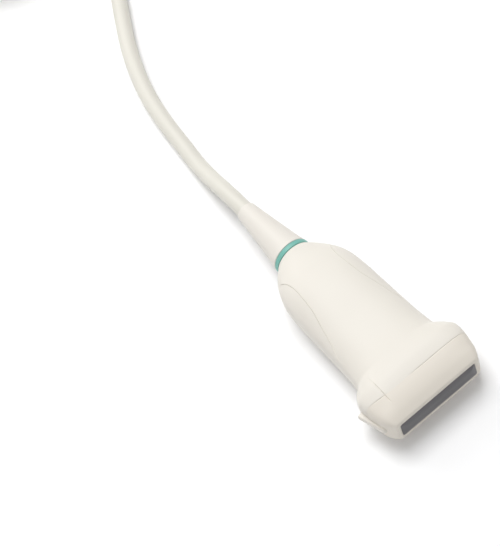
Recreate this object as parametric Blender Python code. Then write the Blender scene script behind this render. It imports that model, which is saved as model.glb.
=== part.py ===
"""Ultrasound transducer probe: a linear array head with its lead and its plug.

Metres, +Z up. The probe lies on its broad side with the acoustic lens towards -Y and the
lead towards +Y. The origin is on the surface it lies on, under the middle of the probe.
Everything in the probe is placed by its distance behind the lens face and its distance
from the axis, under one empty. The plug has an empty of its own at the far end of the lead.
"""

from math import acos, ceil, cos, pi, radians, sin, tau

import bmesh
import bpy
import numpy as np
from mathutils import Matrix, Vector

for old in list(bpy.data.objects):
    bpy.data.objects.remove(old)


# Driving dimensions

GAP = 0.0003  # clearance wherever two pieces meet

# The acoustic window and the front lip of the nosepiece
APERTURE_LENGTH = 0.0380
APERTURE_HEIGHT = 0.0087
APERTURE_CORNER = 7.0  # how square the window's corners are
LENS_DOME = 0.0006  # how far the lens stands out of its window
LENS_FLAT = 0.0012  # half of the flat strip along the middle of the lens
LIP_THICKNESS = 0.0018
LENS_FLANGE = 0.0009  # thickness, and overhang behind the lip
LIP_WIDTH = 0.0019  # from the window's end to the side of the face
LIP_HEIGHT = 0.00185  # from the window's long edge to the top of the face
FACE_ROUNDING = 0.0005

# The head, seen from above: how far it spreads, at distances behind the lens
CHEEK_Y = 0.0057
CHEEK_FLARE = 0.0028  # wider than the face, on each side
CREST_Y = 0.0170
CREST_FLARE = 0.0018  # wider than the cheeks, on each side
SHOULDER_Y = 0.0209
SHOULDER_DROP = 0.0011  # narrower than the crest, on each side
NECK_Y = 0.0248
NECK_HALF_WIDTH = 0.0205

# The handle, seen from above: half widths at distances in front of its mouth
HOUSING_LENGTH = 0.0902
PALM_FROM_MOUTH = 0.0262
PALM_HALF_WIDTH = 0.0191
HEEL_FROM_MOUTH = 0.0167
HEEL_HALF_WIDTH = 0.0178
TAPER_FROM_MOUTH = 0.0085
TAPER_HALF_WIDTH = 0.0151
THROAT_FROM_MOUTH = 0.0032
THROAT_HALF_WIDTH = 0.0117
MOUTH_RADIUS = 0.00875

# The same body seen from the side: half thicknesses
BEVEL_Y = 0.0040
BEVEL_RISE = 0.0025  # thicker than the face, on each side
SEAM_HALF_THICKNESS = 0.0108
HALF_THICKNESS = 0.0120  # at the crest of the head and at the palm
SADDLE_Y = 0.0330
SADDLE_HALF_THICKNESS = 0.0108
HEEL_HALF_THICKNESS = 0.0113
TAPER_HALF_THICKNESS = 0.0104

# Walls, seams and the spigot between nosepiece and handle
WALL = 0.0018
SEAM_Y = 0.0110
SPIGOT_LENGTH = 0.0035
SPIGOT_WALL = 0.0010
NOSE_WALL = 0.0020
MOUTH_LIP = 0.0024
MOUTH_LIP_LENGTH = 0.0026

# Styling: the fold on each cheek and the finger scallops on the handle's sides
FOLD_INSET = 0.0097  # from the crest's side in to the fold
FOLD_SLOPE = 0.20
SCALLOP_DEPTH = 0.0009
SCALLOP_FRONT_Y = 0.0370
SCALLOP_HOOK_FROM_MOUTH = 0.0122
SCALLOP_BACK_FROM_MOUTH = 0.0078
SCALLOP_EDGE_X = 0.0102  # where the edge comes nearest to the axis

# Orientation rib on the -X side of the head
RIB_FRONT_Y = 0.0041
RIB_BACK_Y = 0.0167
RIB_FRONT_STAND = 0.0009
RIB_BACK_STAND = 0.0021
RIB_HALF_HEIGHT = 0.0014
RIB_CHAMFER = 0.0005

# Identification ring and strain relief
RING_WIDTH = 0.0020
BOOT_LENGTH = 0.0312
BOOT_BASE_RADIUS = 0.00835
BOOT_TIP_RADIUS = 0.0046
BOOT_TIP_ROUNDING = 0.0012
BOOT_FLANGE_RADIUS = 0.0071
BOOT_FLANGE_THICKNESS = 0.0015

# Lead
JACKET_RADIUS = 0.0038
JACKET_START_FROM_MOUTH = 0.0102  # in front of the handle's mouth, inside the cable clamp
COIL_CENTRE = (0.0205, 0.3083)
COIL_MEAN_RADIUS = 0.0365
TURN_PITCH = 0.0079
TURNS_ACROSS = 2
TURNS_HIGH = 4
TURNS_BELOW_EXIT = 1
LEAD_BESIDE_COIL = (-15.0, 95.0)  # angles between which the lead lies against the coil
TIE_THICKNESS = 0.0012
TIE_WIDTH = 0.0120
TIE_ANGLES = (150.0, 290.0)

# Acoustic stack, from the lens backwards
ARRAY_SIDE_MARGIN = 0.0004  # the stack is this much shorter than the window at each end
ARRAY_EDGE_MARGIN = 0.00005
OUTER_MATCHING_THICKNESS = 0.0003
INNER_MATCHING_THICKNESS = 0.0004
PIEZO_THICKNESS = 0.0009
KERF_COUNT = 24
KERF_WIDTH = 0.0003
KERF_DEPTH = 0.0006
FLEX_THICKNESS = 0.0002
FLEX_SIDE_MARGIN = 0.0011  # the film is narrower than the stack at each end
BACKING_LENGTH = 0.0088
CARRIER_WALL = 0.0011
CARRIER_LENGTH = 0.0115
SPREADER_THICKNESS = 0.0010
SPREADER_STEM_HALF_WIDTH = 0.0080
SPREADER_STEM_HALF_HEIGHT = 0.0010

# Chassis, board and what sits on it
CHASSIS_HALF_HEIGHT = 0.0020
CHASSIS_BAR = 0.0040
CHASSIS_NOTCH_HALF_WIDTH = 0.0062
CABLE_FAN = 0.0115  # from the board to the cable clamp
BOARD_HALF_WIDTH = 0.0130
BOARD_HALF_THICKNESS = 0.0008
SOCKET_HALF_WIDTH = 0.0110
SOCKET_LENGTH = 0.0040
SOCKET_HEIGHT = 0.0022
TERMINAL_LENGTH = 0.0050
TERMINAL_HEIGHT = 0.0035
CAN_HEIGHT = 0.0044
CAN_WALL = 0.0003
RIBBON_HALF_THICKNESS = 0.0011
RIBBON_END_HALF_WIDTH = 0.0026

# Cable clamp
CLAMP_LENGTH = 0.0055
CLAMP_HALF_WIDTH = 0.0078
CLAMP_HEIGHT = 0.0056
SCREW_RADIUS = 0.0008
SCREW_HEAD_RADIUS = 0.0016
SCREW_HEAD_HEIGHT = 0.0009
FERRULE_WALL = 0.0008

# Plug
PLUG_BEHIND_LEAD = 0.0012
PLUG_HALF_WIDTH = 0.0420
PLUG_DEPTH = 0.0440
PLUG_HALF_HEIGHT = 0.0160
PLUG_CORNER = 0.0070
PLUG_EDGE = 0.0025
PLUG_WALL = 0.0022
PLUG_CABLE_X = 0.0240
PLUG_BOOT_FLANGE = 0.0012
PLUG_BOOT_LENGTH = 0.0220
PLUG_BOOT_BASE_RADIUS = 0.0072
PLUG_BOOT_SPIGOT_RADIUS = 0.0058
SHROUD_HALF_WIDTH = 0.0290
SHROUD_HALF_HEIGHT = 0.0098
SHROUD_WALL = 0.0012
SHROUD_STAND = 0.0090
SHROUD_INSIDE = 0.0075
CONTACT_RECESS = 0.0030
CONTACT_THICKNESS = 0.0005
CONTACT_COUNT = 20
CONTACT_ROW_Z = 0.0036
GUIDE_PIN_X = 0.0330
GUIDE_PIN_RADIUS = 0.0020
GUIDE_PIN_STAND = 0.0120
GUIDE_PIN_FLANGE = 0.0010
PLUG_BOARD_HALF_WIDTH = 0.0320
PLUG_BOARD_REAR_Y = 0.0125
PLUG_SCREW_X = 0.0365
PLUG_SCREW_REAR_Y = 0.0070
PLUG_SCREW_FRONT_Y = 0.0280
PLUG_SCREW_RADIUS = 0.0014
PLUG_SCREW_HEAD_RADIUS = 0.0028
PLUG_SCREW_HEAD_HEIGHT = 0.0012
PLUG_BOSS_RADIUS = 0.0036
PLUG_CLAMP_HALF_WIDTH = 0.0070
PLUG_CLAMP_LENGTH = 0.0060

# How finely round shapes are drawn
TOP_STEPS = 4
SIDE_STEPS = 6
ROUND_STEPS = 24


# Sizes that follow from them

FACE_HALF_WIDTH = APERTURE_LENGTH / 2 + LIP_WIDTH
FACE_HALF_THICKNESS = APERTURE_HEIGHT / 2 + LIP_HEIGHT
CHEEK_HALF_WIDTH = FACE_HALF_WIDTH + CHEEK_FLARE
HEAD_HALF_WIDTH = CHEEK_HALF_WIDTH + CREST_FLARE
SHOULDER_HALF_WIDTH = HEAD_HALF_WIDTH - SHOULDER_DROP
BEVEL_HALF_THICKNESS = FACE_HALF_THICKNESS + BEVEL_RISE
FOLD_X = HEAD_HALF_WIDTH - FOLD_INSET
PALM_Y = HOUSING_LENGTH - PALM_FROM_MOUTH
HEEL_Y = HOUSING_LENGTH - HEEL_FROM_MOUTH
TAPER_Y = HOUSING_LENGTH - TAPER_FROM_MOUTH
THROAT_Y = HOUSING_LENGTH - THROAT_FROM_MOUTH
SCALLOP_HOOK_Y = HOUSING_LENGTH - SCALLOP_HOOK_FROM_MOUTH
SCALLOP_BACK_Y = HOUSING_LENGTH - SCALLOP_BACK_FROM_MOUTH
JACKET_START_Y = HOUSING_LENGTH - JACKET_START_FROM_MOUTH
HOUSING_REACH = HEAD_HALF_WIDTH + GAP + RIB_BACK_STAND
AXIS_X = (HOUSING_REACH - HEAD_HALF_WIDTH) / 2
RING_Y = HOUSING_LENGTH + GAP
PROBE_LENGTH = RING_Y + RING_WIDTH
LENS_Y = (LENS_DOME - PROBE_LENGTH) / 2
BOOT_Y = PROBE_LENGTH + GAP
BORE_RADIUS = JACKET_RADIUS + GAP
LIP_START_Y = HOUSING_LENGTH - MOUTH_LIP_LENGTH
WINDOW_HALF = (APERTURE_LENGTH / 2, APERTURE_HEIGHT / 2)
LENS_FLANGE_Y = LIP_THICKNESS + GAP
OUTER_MATCHING_Y = LENS_FLANGE_Y + LENS_FLANGE + GAP
INNER_MATCHING_Y = OUTER_MATCHING_Y + OUTER_MATCHING_THICKNESS + GAP
PIEZO_Y = INNER_MATCHING_Y + INNER_MATCHING_THICKNESS + GAP
ARRAY_HALF_LENGTH = APERTURE_LENGTH / 2 - ARRAY_SIDE_MARGIN
ARRAY_HALF_HEIGHT = APERTURE_HEIGHT / 2 - ARRAY_EDGE_MARGIN
FLEX_HALF_WIDTH = ARRAY_HALF_LENGTH - FLEX_SIDE_MARGIN
FLEX_Y = PIEZO_Y + PIEZO_THICKNESS + GAP
BACKING_Y = FLEX_Y + FLEX_THICKNESS + GAP
SPREADER_Y = BACKING_Y + BACKING_LENGTH + GAP
FLEX_Z = ARRAY_HALF_HEIGHT + GAP + FLEX_THICKNESS / 2
CARRIER_HOLE = (ARRAY_HALF_LENGTH + GAP, FLEX_Z + FLEX_THICKNESS / 2 + GAP)
CLAMP_Y = JACKET_START_Y - 0.0028
CHASSIS_FRONT_Y = PALM_Y / 2
BOARD_Y = CHASSIS_FRONT_Y + CHASSIS_BAR + GAP
BOARD_LENGTH = CLAMP_Y - CABLE_FAN - BOARD_Y
ON_BOARD_Z = BOARD_HALF_THICKNESS + GAP
SOCKET_Y = BOARD_Y + 0.0020
TERMINAL_Y = BOARD_Y + BOARD_LENGTH - TERMINAL_LENGTH - 0.0010
CAN_Y = SOCKET_Y + SOCKET_LENGTH + 0.0006
CHASSIS_BACK_Y = CLAMP_Y - GAP
CLAMP_SCREW_X = (BORE_RADIUS + CLAMP_HALF_WIDTH) / 2
FERRULE_Y = CLAMP_Y + CLAMP_LENGTH + GAP
BOOT_FLANGE_Y = LIP_START_Y - GAP - BOOT_FLANGE_THICKNESS
COIL_HALF_WIDTH = TURNS_ACROSS * TURN_PITCH / 2
COIL_BASE_Z = TIE_THICKNESS + GAP
COIL_TOP_Z = COIL_BASE_Z + TURNS_HIGH * TURN_PITCH
OUTER_TURN_RADIUS = COIL_MEAN_RADIUS + (TURNS_ACROSS - 1) * TURN_PITCH / 2
COIL_RADIUS = COIL_MEAN_RADIUS + COIL_HALF_WIDTH
BESIDE_COIL_RADIUS = COIL_RADIUS + GAP + JACKET_RADIUS
COIL_REACH = ((COIL_RADIUS + GAP) ** 2 - (OUTER_TURN_RADIUS - JACKET_RADIUS) ** 2) ** 0.5
PLUG_CLAMP_Y = PLUG_WALL + PLUG_BOOT_FLANGE + 2 * GAP
PLUG_CENTRE_X = COIL_CENTRE[0] + OUTER_TURN_RADIUS - PLUG_CABLE_X
PLUG_REAR_Y = COIL_CENTRE[1] + BESIDE_COIL_RADIUS + JACKET_RADIUS + PLUG_BEHIND_LEAD


# Curves through named knots

def smooth(knots, y):
    """Monotone cubic through the knots, level at the first and last unless they are steep."""
    xs, vs = (np.array(v, float) for v in zip(*knots))
    steps = np.diff(xs)
    rises = np.diff(vs) / steps
    slopes = np.concatenate(([rises[0]], np.zeros(len(xs) - 2), [rises[-1]]))
    for i in range(1, len(xs) - 1):
        if rises[i - 1] * rises[i] > 0:
            a = 2 * steps[i] + steps[i - 1]
            b = steps[i] + 2 * steps[i - 1]
            slopes[i] = (a + b) / (a / rises[i - 1] + b / rises[i])
    i = int(np.clip(np.searchsorted(xs, y) - 1, 0, len(steps) - 1))
    t = min(max((y - xs[i]) / steps[i], 0.0), 1.0)
    h = steps[i]
    return float(
        vs[i] * (1 + 2 * t) * (1 - t) ** 2
        + slopes[i] * h * t * (1 - t) ** 2
        + vs[i + 1] * t * t * (3 - 2 * t)
        + slopes[i + 1] * h * t * t * (t - 1)
    )


HEAD_OUTLINE = (
    (0.0, FACE_HALF_WIDTH),
    (CHEEK_Y, CHEEK_HALF_WIDTH),
    (CREST_Y, HEAD_HALF_WIDTH),
    (SHOULDER_Y, SHOULDER_HALF_WIDTH),
    (NECK_Y, NECK_HALF_WIDTH),
)
HANDLE_OUTLINE = (
    (NECK_Y, NECK_HALF_WIDTH),
    (PALM_Y, PALM_HALF_WIDTH),
    (HEEL_Y, HEEL_HALF_WIDTH),
    (TAPER_Y, TAPER_HALF_WIDTH),
    (THROAT_Y, THROAT_HALF_WIDTH),
    (HOUSING_LENGTH, MOUTH_RADIUS),
)
SIDE_OUTLINE = (
    (0.0, FACE_HALF_THICKNESS),
    (BEVEL_Y, BEVEL_HALF_THICKNESS),
    (SEAM_Y, SEAM_HALF_THICKNESS),
    (CREST_Y, HALF_THICKNESS),
    (SADDLE_Y, SADDLE_HALF_THICKNESS),
    (PALM_Y, HALF_THICKNESS),
    (HEEL_Y, HEEL_HALF_THICKNESS),
    (TAPER_Y, TAPER_HALF_THICKNESS),
    (HOUSING_LENGTH, MOUTH_RADIUS),
)
SQUARENESS = (
    (0.0, 8.0),
    (SEAM_Y, 6.0),
    (CREST_Y, 4.2),
    (SHOULDER_Y, 3.0),
    (NECK_Y, 2.7),
    (SADDLE_Y, 2.8),
    (PALM_Y, 2.6),
    (HOUSING_LENGTH, 2.0),
)
EDGE_LINE = (
    (0.0, FOLD_X),
    (SHOULDER_Y, FOLD_X),
    (SCALLOP_FRONT_Y, FOLD_X + 0.0008),
    (PALM_Y, SCALLOP_EDGE_X + 0.0004),
    (HEEL_Y, SCALLOP_EDGE_X),
    (SCALLOP_HOOK_Y, SCALLOP_EDGE_X + 0.0006),
    (SCALLOP_BACK_Y, TAPER_HALF_WIDTH - 0.0010),
    (HOUSING_LENGTH, 0.8 * MOUTH_RADIUS),
)
SCALLOP = (
    (SCALLOP_FRONT_Y, 0.0),
    ((SCALLOP_FRONT_Y + PALM_Y) / 2, SCALLOP_DEPTH * 0.7),
    (PALM_Y, SCALLOP_DEPTH),
    (SCALLOP_HOOK_Y, SCALLOP_DEPTH),
    (SCALLOP_BACK_Y, 0.0),
)
FOLD = (
    (CHEEK_Y, 0.0),
    (SEAM_Y, FOLD_SLOPE),
    (CREST_Y, FOLD_SLOPE),
    (SHOULDER_Y, 0.0),
)


def half_width(y):
    return smooth(HEAD_OUTLINE if y < NECK_Y else HANDLE_OUTLINE, y)


def within(knots, y):
    """The curve's value between its first and last knots, and nothing outside them."""
    return smooth(knots, y) if knots[0][0] < y < knots[-1][0] else 0.0


def quadrant(y, inset=0.0):
    """The body's section at y as (x, z) points, from its top centre to its side."""
    wide = half_width(y) - inset
    thick = smooth(SIDE_OUTLINE, y) - inset
    square = smooth(SQUARENESS, y)
    scoop = within(SCALLOP, y)
    slope = within(FOLD, y)
    edge = min(smooth(EDGE_LINE, y) - inset / 2, 0.92 * wide)
    base = wide + scoop
    turn = acos(max(0.0, 1 - (edge / base) ** square) ** 0.5)
    points = []
    for i in range(TOP_STEPS):
        x = edge * i / TOP_STEPS
        points.append((x, thick * (1 - (x / base) ** square) ** (1 / square)))
    for i in range(SIDE_STEPS + 1):
        share = i / SIDE_STEPS
        angle = turn + (pi / 2 - turn) * share
        x = base * sin(angle) ** (2 / square)
        z = thick * max(cos(angle), 0.0) ** (2 / square) if i < SIDE_STEPS else 0.0
        sink = scoop * (1 - (1 - share) ** 3)
        fall = slope * (x - edge) * (1 - share)
        points.append((x - sink * sin(angle), max(z - sink * cos(angle) * 0.6 - fall, 0.0)))
    return points


def arch(y, inset=0.0, floor=0.0):
    """The upper half of the section, from the +X side over the top to the -X side."""
    right = quadrant(y, inset)[::-1]
    return [Vector((x, y, max(z, floor))) for x, z in right + [(-x, z) for x, z in right[-2::-1]]]


def loop(y, inset=0.0):
    """The whole section as a closed ring."""
    over = arch(y, inset)
    return over + [Vector((p.x, y, -p.z)) for p in over[-2:0:-1]]


def rounded(y, half_x, half_z, square=APERTURE_CORNER, centre_z=0.0):
    """A rounded rectangle with as many points as a whole section."""
    count = 4 * (TOP_STEPS + SIDE_STEPS)
    ring = []
    for i in range(count):
        a = tau * i / count
        x = abs(cos(a)) ** (2 / square) * (1 if cos(a) > 0 else -1)
        z = abs(sin(a)) ** (2 / square) * (1 if sin(a) > 0 else -1)
        ring.append(Vector((half_x * x, y, centre_z + half_z * z)))
    return ring


# Materials

def finish(name, colour, roughness, metallic=0.0):
    material = bpy.data.materials.new(name)
    material.use_nodes = True
    shader = material.node_tree.nodes["Principled BSDF"]
    shader.inputs["Base Color"].default_value = (*colour, 1.0)
    shader.inputs["Roughness"].default_value = roughness
    shader.inputs["Metallic"].default_value = metallic
    return material


HOUSING_CREAM = finish("housing_cream", (0.86, 0.80, 0.73), 0.38)
BOOT_CREAM = finish("boot_cream", (0.88, 0.84, 0.77), 0.50)
JACKET_CREAM = finish("jacket_cream", (0.84, 0.80, 0.71), 0.45)
RING_TEAL = finish("ring_teal", (0.20, 0.52, 0.43), 0.40)
LENS_GREY = finish("lens_grey", (0.13, 0.125, 0.13), 0.50)
MATCHING_BLACK = finish("matching_layer", (0.05, 0.05, 0.06), 0.60)
PIEZO_TAN = finish("piezo_ceramic", (0.55, 0.42, 0.27), 0.70)
BACKING_GREY = finish("backing_epoxy", (0.16, 0.16, 0.17), 0.80)
FLEX_AMBER = finish("flex_polyimide", (0.55, 0.25, 0.05), 0.35)
ALUMINIUM = finish("aluminium", (0.75, 0.76, 0.78), 0.35, 1.0)
CHASSIS_BLACK = finish("chassis_plastic", (0.04, 0.04, 0.045), 0.55)
BOARD_GREEN = finish("board_green", (0.02, 0.16, 0.06), 0.45)
SOCKET_IVORY = finish("socket_ivory", (0.70, 0.64, 0.50), 0.50)
TINNED_STEEL = finish("tinned_steel", (0.68, 0.68, 0.66), 0.30, 1.0)
RIBBON_BLUE = finish("ribbon_blue", (0.10, 0.17, 0.36), 0.50)
CLAMP_GREY = finish("clamp_grey", (0.22, 0.23, 0.24), 0.60)
BRASS = finish("ferrule_brass", (0.72, 0.52, 0.22), 0.30, 1.0)
CONTACT_GOLD = finish("contact_gold", (0.83, 0.60, 0.25), 0.25, 1.0)
PLUG_GREY = finish("plug_cream", (0.80, 0.76, 0.69), 0.42)
TIE_GREY = finish("tie_grey", (0.45, 0.46, 0.46), 0.80)


# Building blocks

probe = bpy.data.objects.new("probe", None)
probe.location = (AXIS_X, LENS_Y, HALF_THICKNESS)
plug = bpy.data.objects.new("plug", None)
plug.location = (PLUG_CENTRE_X, PLUG_REAR_Y, PLUG_HALF_HEIGHT)
for anchor in (probe, plug):
    bpy.context.collection.objects.link(anchor)


def add(name, bm, material, parent=None, sharp=35.0):
    """Turns a bmesh into a named object with its normals out and its round parts smooth."""
    bmesh.ops.recalc_face_normals(bm, faces=bm.faces)
    mesh = bpy.data.meshes.new(name)
    bm.to_mesh(mesh)
    bm.free()
    mesh.shade_smooth()
    mesh.set_sharp_from_angle(angle=radians(sharp))
    mesh.materials.append(material)
    piece = bpy.data.objects.new(name, mesh)
    piece.parent = parent
    bpy.context.collection.objects.link(piece)
    return piece


def bridge(bm, rings, closed):
    """Joins each ring of corners to the next with quads."""
    for one, two in zip(rings, rings[1:]):
        for i in range(len(one) if closed else len(one) - 1):
            j = (i + 1) % len(one)
            bm.faces.new((one[i], one[j], two[j], two[i]))


def loft(name, rings, material, parent=None):
    """A solid through closed rings, with a flat face at each end."""
    bm = bmesh.new()
    corners = [[bm.verts.new(p) for p in ring] for ring in rings]
    bridge(bm, corners, True)
    bm.faces.new(corners[0])
    bm.faces.new(corners[-1])
    return add(name, bm, material, parent)


def sleeve(name, rings, material, parent=None):
    """A solid with a hole right through it: the last ring joins back to the first."""
    bm = bmesh.new()
    corners = [[bm.verts.new(p) for p in ring] for ring in rings]
    bridge(bm, corners + corners[:1], True)
    return add(name, bm, material, parent)


def circle(y, radius, centre_x=0.0):
    return [
        Vector((centre_x + radius * cos(tau * i / ROUND_STEPS), y, radius * sin(tau * i / ROUND_STEPS)))
        for i in range(ROUND_STEPS)
    ]


def turned(name, profile, material, parent=None, centre_x=0.0):
    """A sleeve turned about the lead's axis from closed (y, radius) points."""
    return sleeve(name, [circle(y, r, centre_x) for y, r in profile], material, parent)


def block(name, low, high, material, parent=None):
    """A plain rectangular solid between two corners."""
    bm = bmesh.new()
    size = Vector(high) - Vector(low)
    middle = (Vector(high) + Vector(low)) / 2
    place = Matrix.Translation(middle) @ Matrix.Diagonal((*size, 1.0))
    bmesh.ops.create_cube(bm, size=1.0, matrix=place)
    return add(name, bm, material, parent)


def prism(name, outline, low_z, high_z, material, parent=None):
    """An outline of (x, y) points carried from low_z up to high_z."""
    rings = [[Vector((x, y, z)) for x, y in outline] for z in (low_z, high_z)]
    return loft(name, rings, material, parent)


def carve(piece, cutters, operation="DIFFERENCE"):
    """Cuts helper solids from a piece, or joins them to it, and removes the helpers."""
    for cutter in cutters:
        step = piece.modifiers.new(operation.lower(), "BOOLEAN")
        step.operation = operation
        step.solver = "EXACT"
        step.object = cutter
    bpy.context.view_layer.update()
    graph = bpy.context.evaluated_depsgraph_get()
    result = bpy.data.meshes.new_from_object(piece.evaluated_get(graph))
    piece.modifiers.clear()
    piece.data = result
    for cutter in cutters:
        bpy.data.objects.remove(cutter)
    return piece


def bar(name, low, high, radius, material, parent=None):
    """A round bar between two points."""
    bm = bmesh.new()
    run = Vector(high) - Vector(low)
    turn = run.to_track_quat("Z", "Y").to_matrix().to_4x4()
    place = Matrix.Translation((Vector(high) + Vector(low)) / 2) @ turn
    bmesh.ops.create_cone(
        bm, cap_ends=True, segments=16, radius1=radius, radius2=radius, depth=run.length, matrix=place
    )
    return add(name, bm, material, parent)


# Housing

def stations():
    """Where the handle's sections are taken: close together where its outline turns."""
    head = np.linspace(SEAM_Y + GAP / 2, NECK_Y, 8)
    neck = np.linspace(NECK_Y, SADDLE_Y, 3)[1:]
    grip = np.linspace(SADDLE_Y, HEEL_Y, 8)[1:]
    hook = np.linspace(HEEL_Y, SCALLOP_HOOK_Y, 3)[1:]
    back = np.linspace(SCALLOP_HOOK_Y, SCALLOP_BACK_Y, 4)[1:]
    throat = np.linspace(SCALLOP_BACK_Y, LIP_START_Y, 4)[1:]
    mouth = np.linspace(LIP_START_Y + 0.0002, HOUSING_LENGTH, 2)
    return [*head, *neck, *grip, *hook, *back, *throat, *mouth]


def handle_shell(name, side):
    """One half of the handle, parted on the mid plane: side is 1 for the upper, -1 for the lower."""
    bm = bmesh.new()
    rings = []
    for y in stations():
        inset = WALL if y <= LIP_START_Y else MOUTH_LIP
        profile = arch(y, 0.0, GAP / 2) + arch(y, inset, GAP / 2)[::-1]
        rings.append([bm.verts.new((p.x, p.y, side * p.z)) for p in profile])
    bridge(bm, rings, True)
    count = len(rings[0])
    for ring in (rings[0], rings[-1]):
        for i in range(count // 2 - 1):
            bm.faces.new((ring[i], ring[i + 1], ring[count - 2 - i], ring[count - 1 - i]))
    return add(name, bm, HOUSING_CREAM, probe)


def nosepiece():
    """The front cap: window, rounded lip, outer skin, spigot and inside, all in one skin."""
    front = [rounded(0.0, *(h + GAP for h in WINDOW_HALF))]
    front += [loop(0.0, FACE_ROUNDING), loop(FACE_ROUNDING / 2, FACE_ROUNDING * 0.15)]
    skin = [loop(y) for y in np.linspace(FACE_ROUNDING * 1.4, SEAM_Y - GAP / 2, 8)]
    spigot_out = WALL + GAP
    spigot_in = spigot_out + SPIGOT_WALL
    spigot = [
        loop(SEAM_Y - GAP / 2, spigot_out),
        loop(SEAM_Y + SPIGOT_LENGTH, spigot_out),
        loop(SEAM_Y + SPIGOT_LENGTH, spigot_in),
    ]
    pocket = [h + LENS_FLANGE + GAP for h in WINDOW_HALF]
    pocket_y = LENS_FLANGE_Y + LENS_FLANGE + GAP
    inside = [
        loop(SEAM_Y - 0.0015, spigot_in),
        loop(CHEEK_Y, NOSE_WALL),
        rounded(pocket_y, *pocket),
        rounded(LIP_THICKNESS, *pocket),
        rounded(LIP_THICKNESS, *(h + GAP for h in WINDOW_HALF)),
    ]
    return sleeve("nosepiece", front + skin + spigot + inside, HOUSING_CREAM, probe)


def orientation_rib():
    """A straight ridge along the head's side that tells the two ends of the array apart."""
    steps = 7
    ys = np.linspace(RIB_FRONT_Y, RIB_BACK_Y, steps)
    foot = [half_width(y) + GAP for y in ys]
    stands = (foot[0] + RIB_FRONT_STAND, foot[-1] + RIB_BACK_STAND)
    crest = np.linspace(*stands, steps)
    rings = []
    for y, low, high in zip(ys, foot, crest):
        chamfer = min(RIB_CHAMFER, (high - low) / 2)
        section = [
            (low, -RIB_HALF_HEIGHT),
            (high - chamfer, -RIB_HALF_HEIGHT),
            (high, -RIB_HALF_HEIGHT + chamfer),
            (high, RIB_HALF_HEIGHT - chamfer),
            (high - chamfer, RIB_HALF_HEIGHT),
            (low, RIB_HALF_HEIGHT),
        ]
        rings.append([Vector((-x, y, z)) for x, z in section])
    return loft("orientation_rib", rings, HOUSING_CREAM, probe)


def identification_ring():
    inner = MOUTH_RADIUS - MOUTH_LIP
    ends = (RING_Y, RING_Y + RING_WIDTH)
    profile = [(ends[0], inner), (ends[0], MOUTH_RADIUS), (ends[1], MOUTH_RADIUS), (ends[1], inner)]
    return turned("identification_ring", profile, RING_TEAL, probe)


def strain_relief():
    """A flexible cone whose spigot passes through the ring and is held behind the mouth's lip."""
    spigot = MOUTH_RADIUS - MOUTH_LIP - GAP
    tip = BOOT_Y + BOOT_LENGTH
    flange_front = BOOT_FLANGE_Y
    flange_back = BOOT_FLANGE_Y + BOOT_FLANGE_THICKNESS
    cone = [
        (BOOT_Y + BOOT_LENGTH * t, BOOT_BASE_RADIUS + (BOOT_TIP_RADIUS - BOOT_BASE_RADIUS) * t ** 0.9)
        for t in (0.0, 0.15, 0.35, 0.6, 0.8, 1 - BOOT_TIP_ROUNDING / BOOT_LENGTH)
    ]
    profile = [
        (flange_front, BORE_RADIUS),
        (flange_front, BOOT_FLANGE_RADIUS),
        (flange_back, BOOT_FLANGE_RADIUS),
        (flange_back, spigot),
        (BOOT_Y, spigot),
        *cone,
        (tip, (BOOT_TIP_RADIUS + BORE_RADIUS) / 2),
        (tip, BORE_RADIUS),
    ]
    return turned("strain_relief", profile, BOOT_CREAM, probe)


# Acoustic stack

def acoustic_lens():
    """A rubber lens with a low crown along its length and a flange behind the lip."""
    half_x, half_z = WINDOW_HALF
    flange = LENS_FLANGE
    rings = [
        rounded(-LENS_DOME, half_x - flange, LENS_FLAT),
        rounded(-LENS_DOME * 0.6, half_x - flange / 3, half_z * 0.7),
        rounded(0.0, half_x, half_z),
        rounded(LENS_FLANGE_Y, half_x, half_z),
        rounded(LENS_FLANGE_Y, half_x + flange, half_z + flange),
        rounded(LENS_FLANGE_Y + flange, half_x + flange, half_z + flange),
    ]
    return loft("acoustic_lens", rings, LENS_GREY, probe)


def layer(name, y, thickness, material):
    low = (-ARRAY_HALF_LENGTH, y, -ARRAY_HALF_HEIGHT)
    high = (ARRAY_HALF_LENGTH, y + thickness, ARRAY_HALF_HEIGHT)
    return block(name, low, high, material, probe)


def piezo_array():
    """A ceramic bar diced into elements by kerfs from its front face."""
    pitch = 2 * ARRAY_HALF_LENGTH / (KERF_COUNT + 1)
    back = PIEZO_Y + PIEZO_THICKNESS
    outline = [(-ARRAY_HALF_LENGTH, back), (-ARRAY_HALF_LENGTH, PIEZO_Y)]
    for i in range(1, KERF_COUNT + 1):
        middle = -ARRAY_HALF_LENGTH + pitch * i
        left, right = middle - KERF_WIDTH / 2, middle + KERF_WIDTH / 2
        floor = PIEZO_Y + KERF_DEPTH
        outline += [(left, PIEZO_Y), (left, floor), (right, floor), (right, PIEZO_Y)]
    outline += [(ARRAY_HALF_LENGTH, PIEZO_Y), (ARRAY_HALF_LENGTH, back)]
    return prism("piezo_array", outline, -ARRAY_HALF_HEIGHT, ARRAY_HALF_HEIGHT, PIEZO_TAN, probe)


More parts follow.
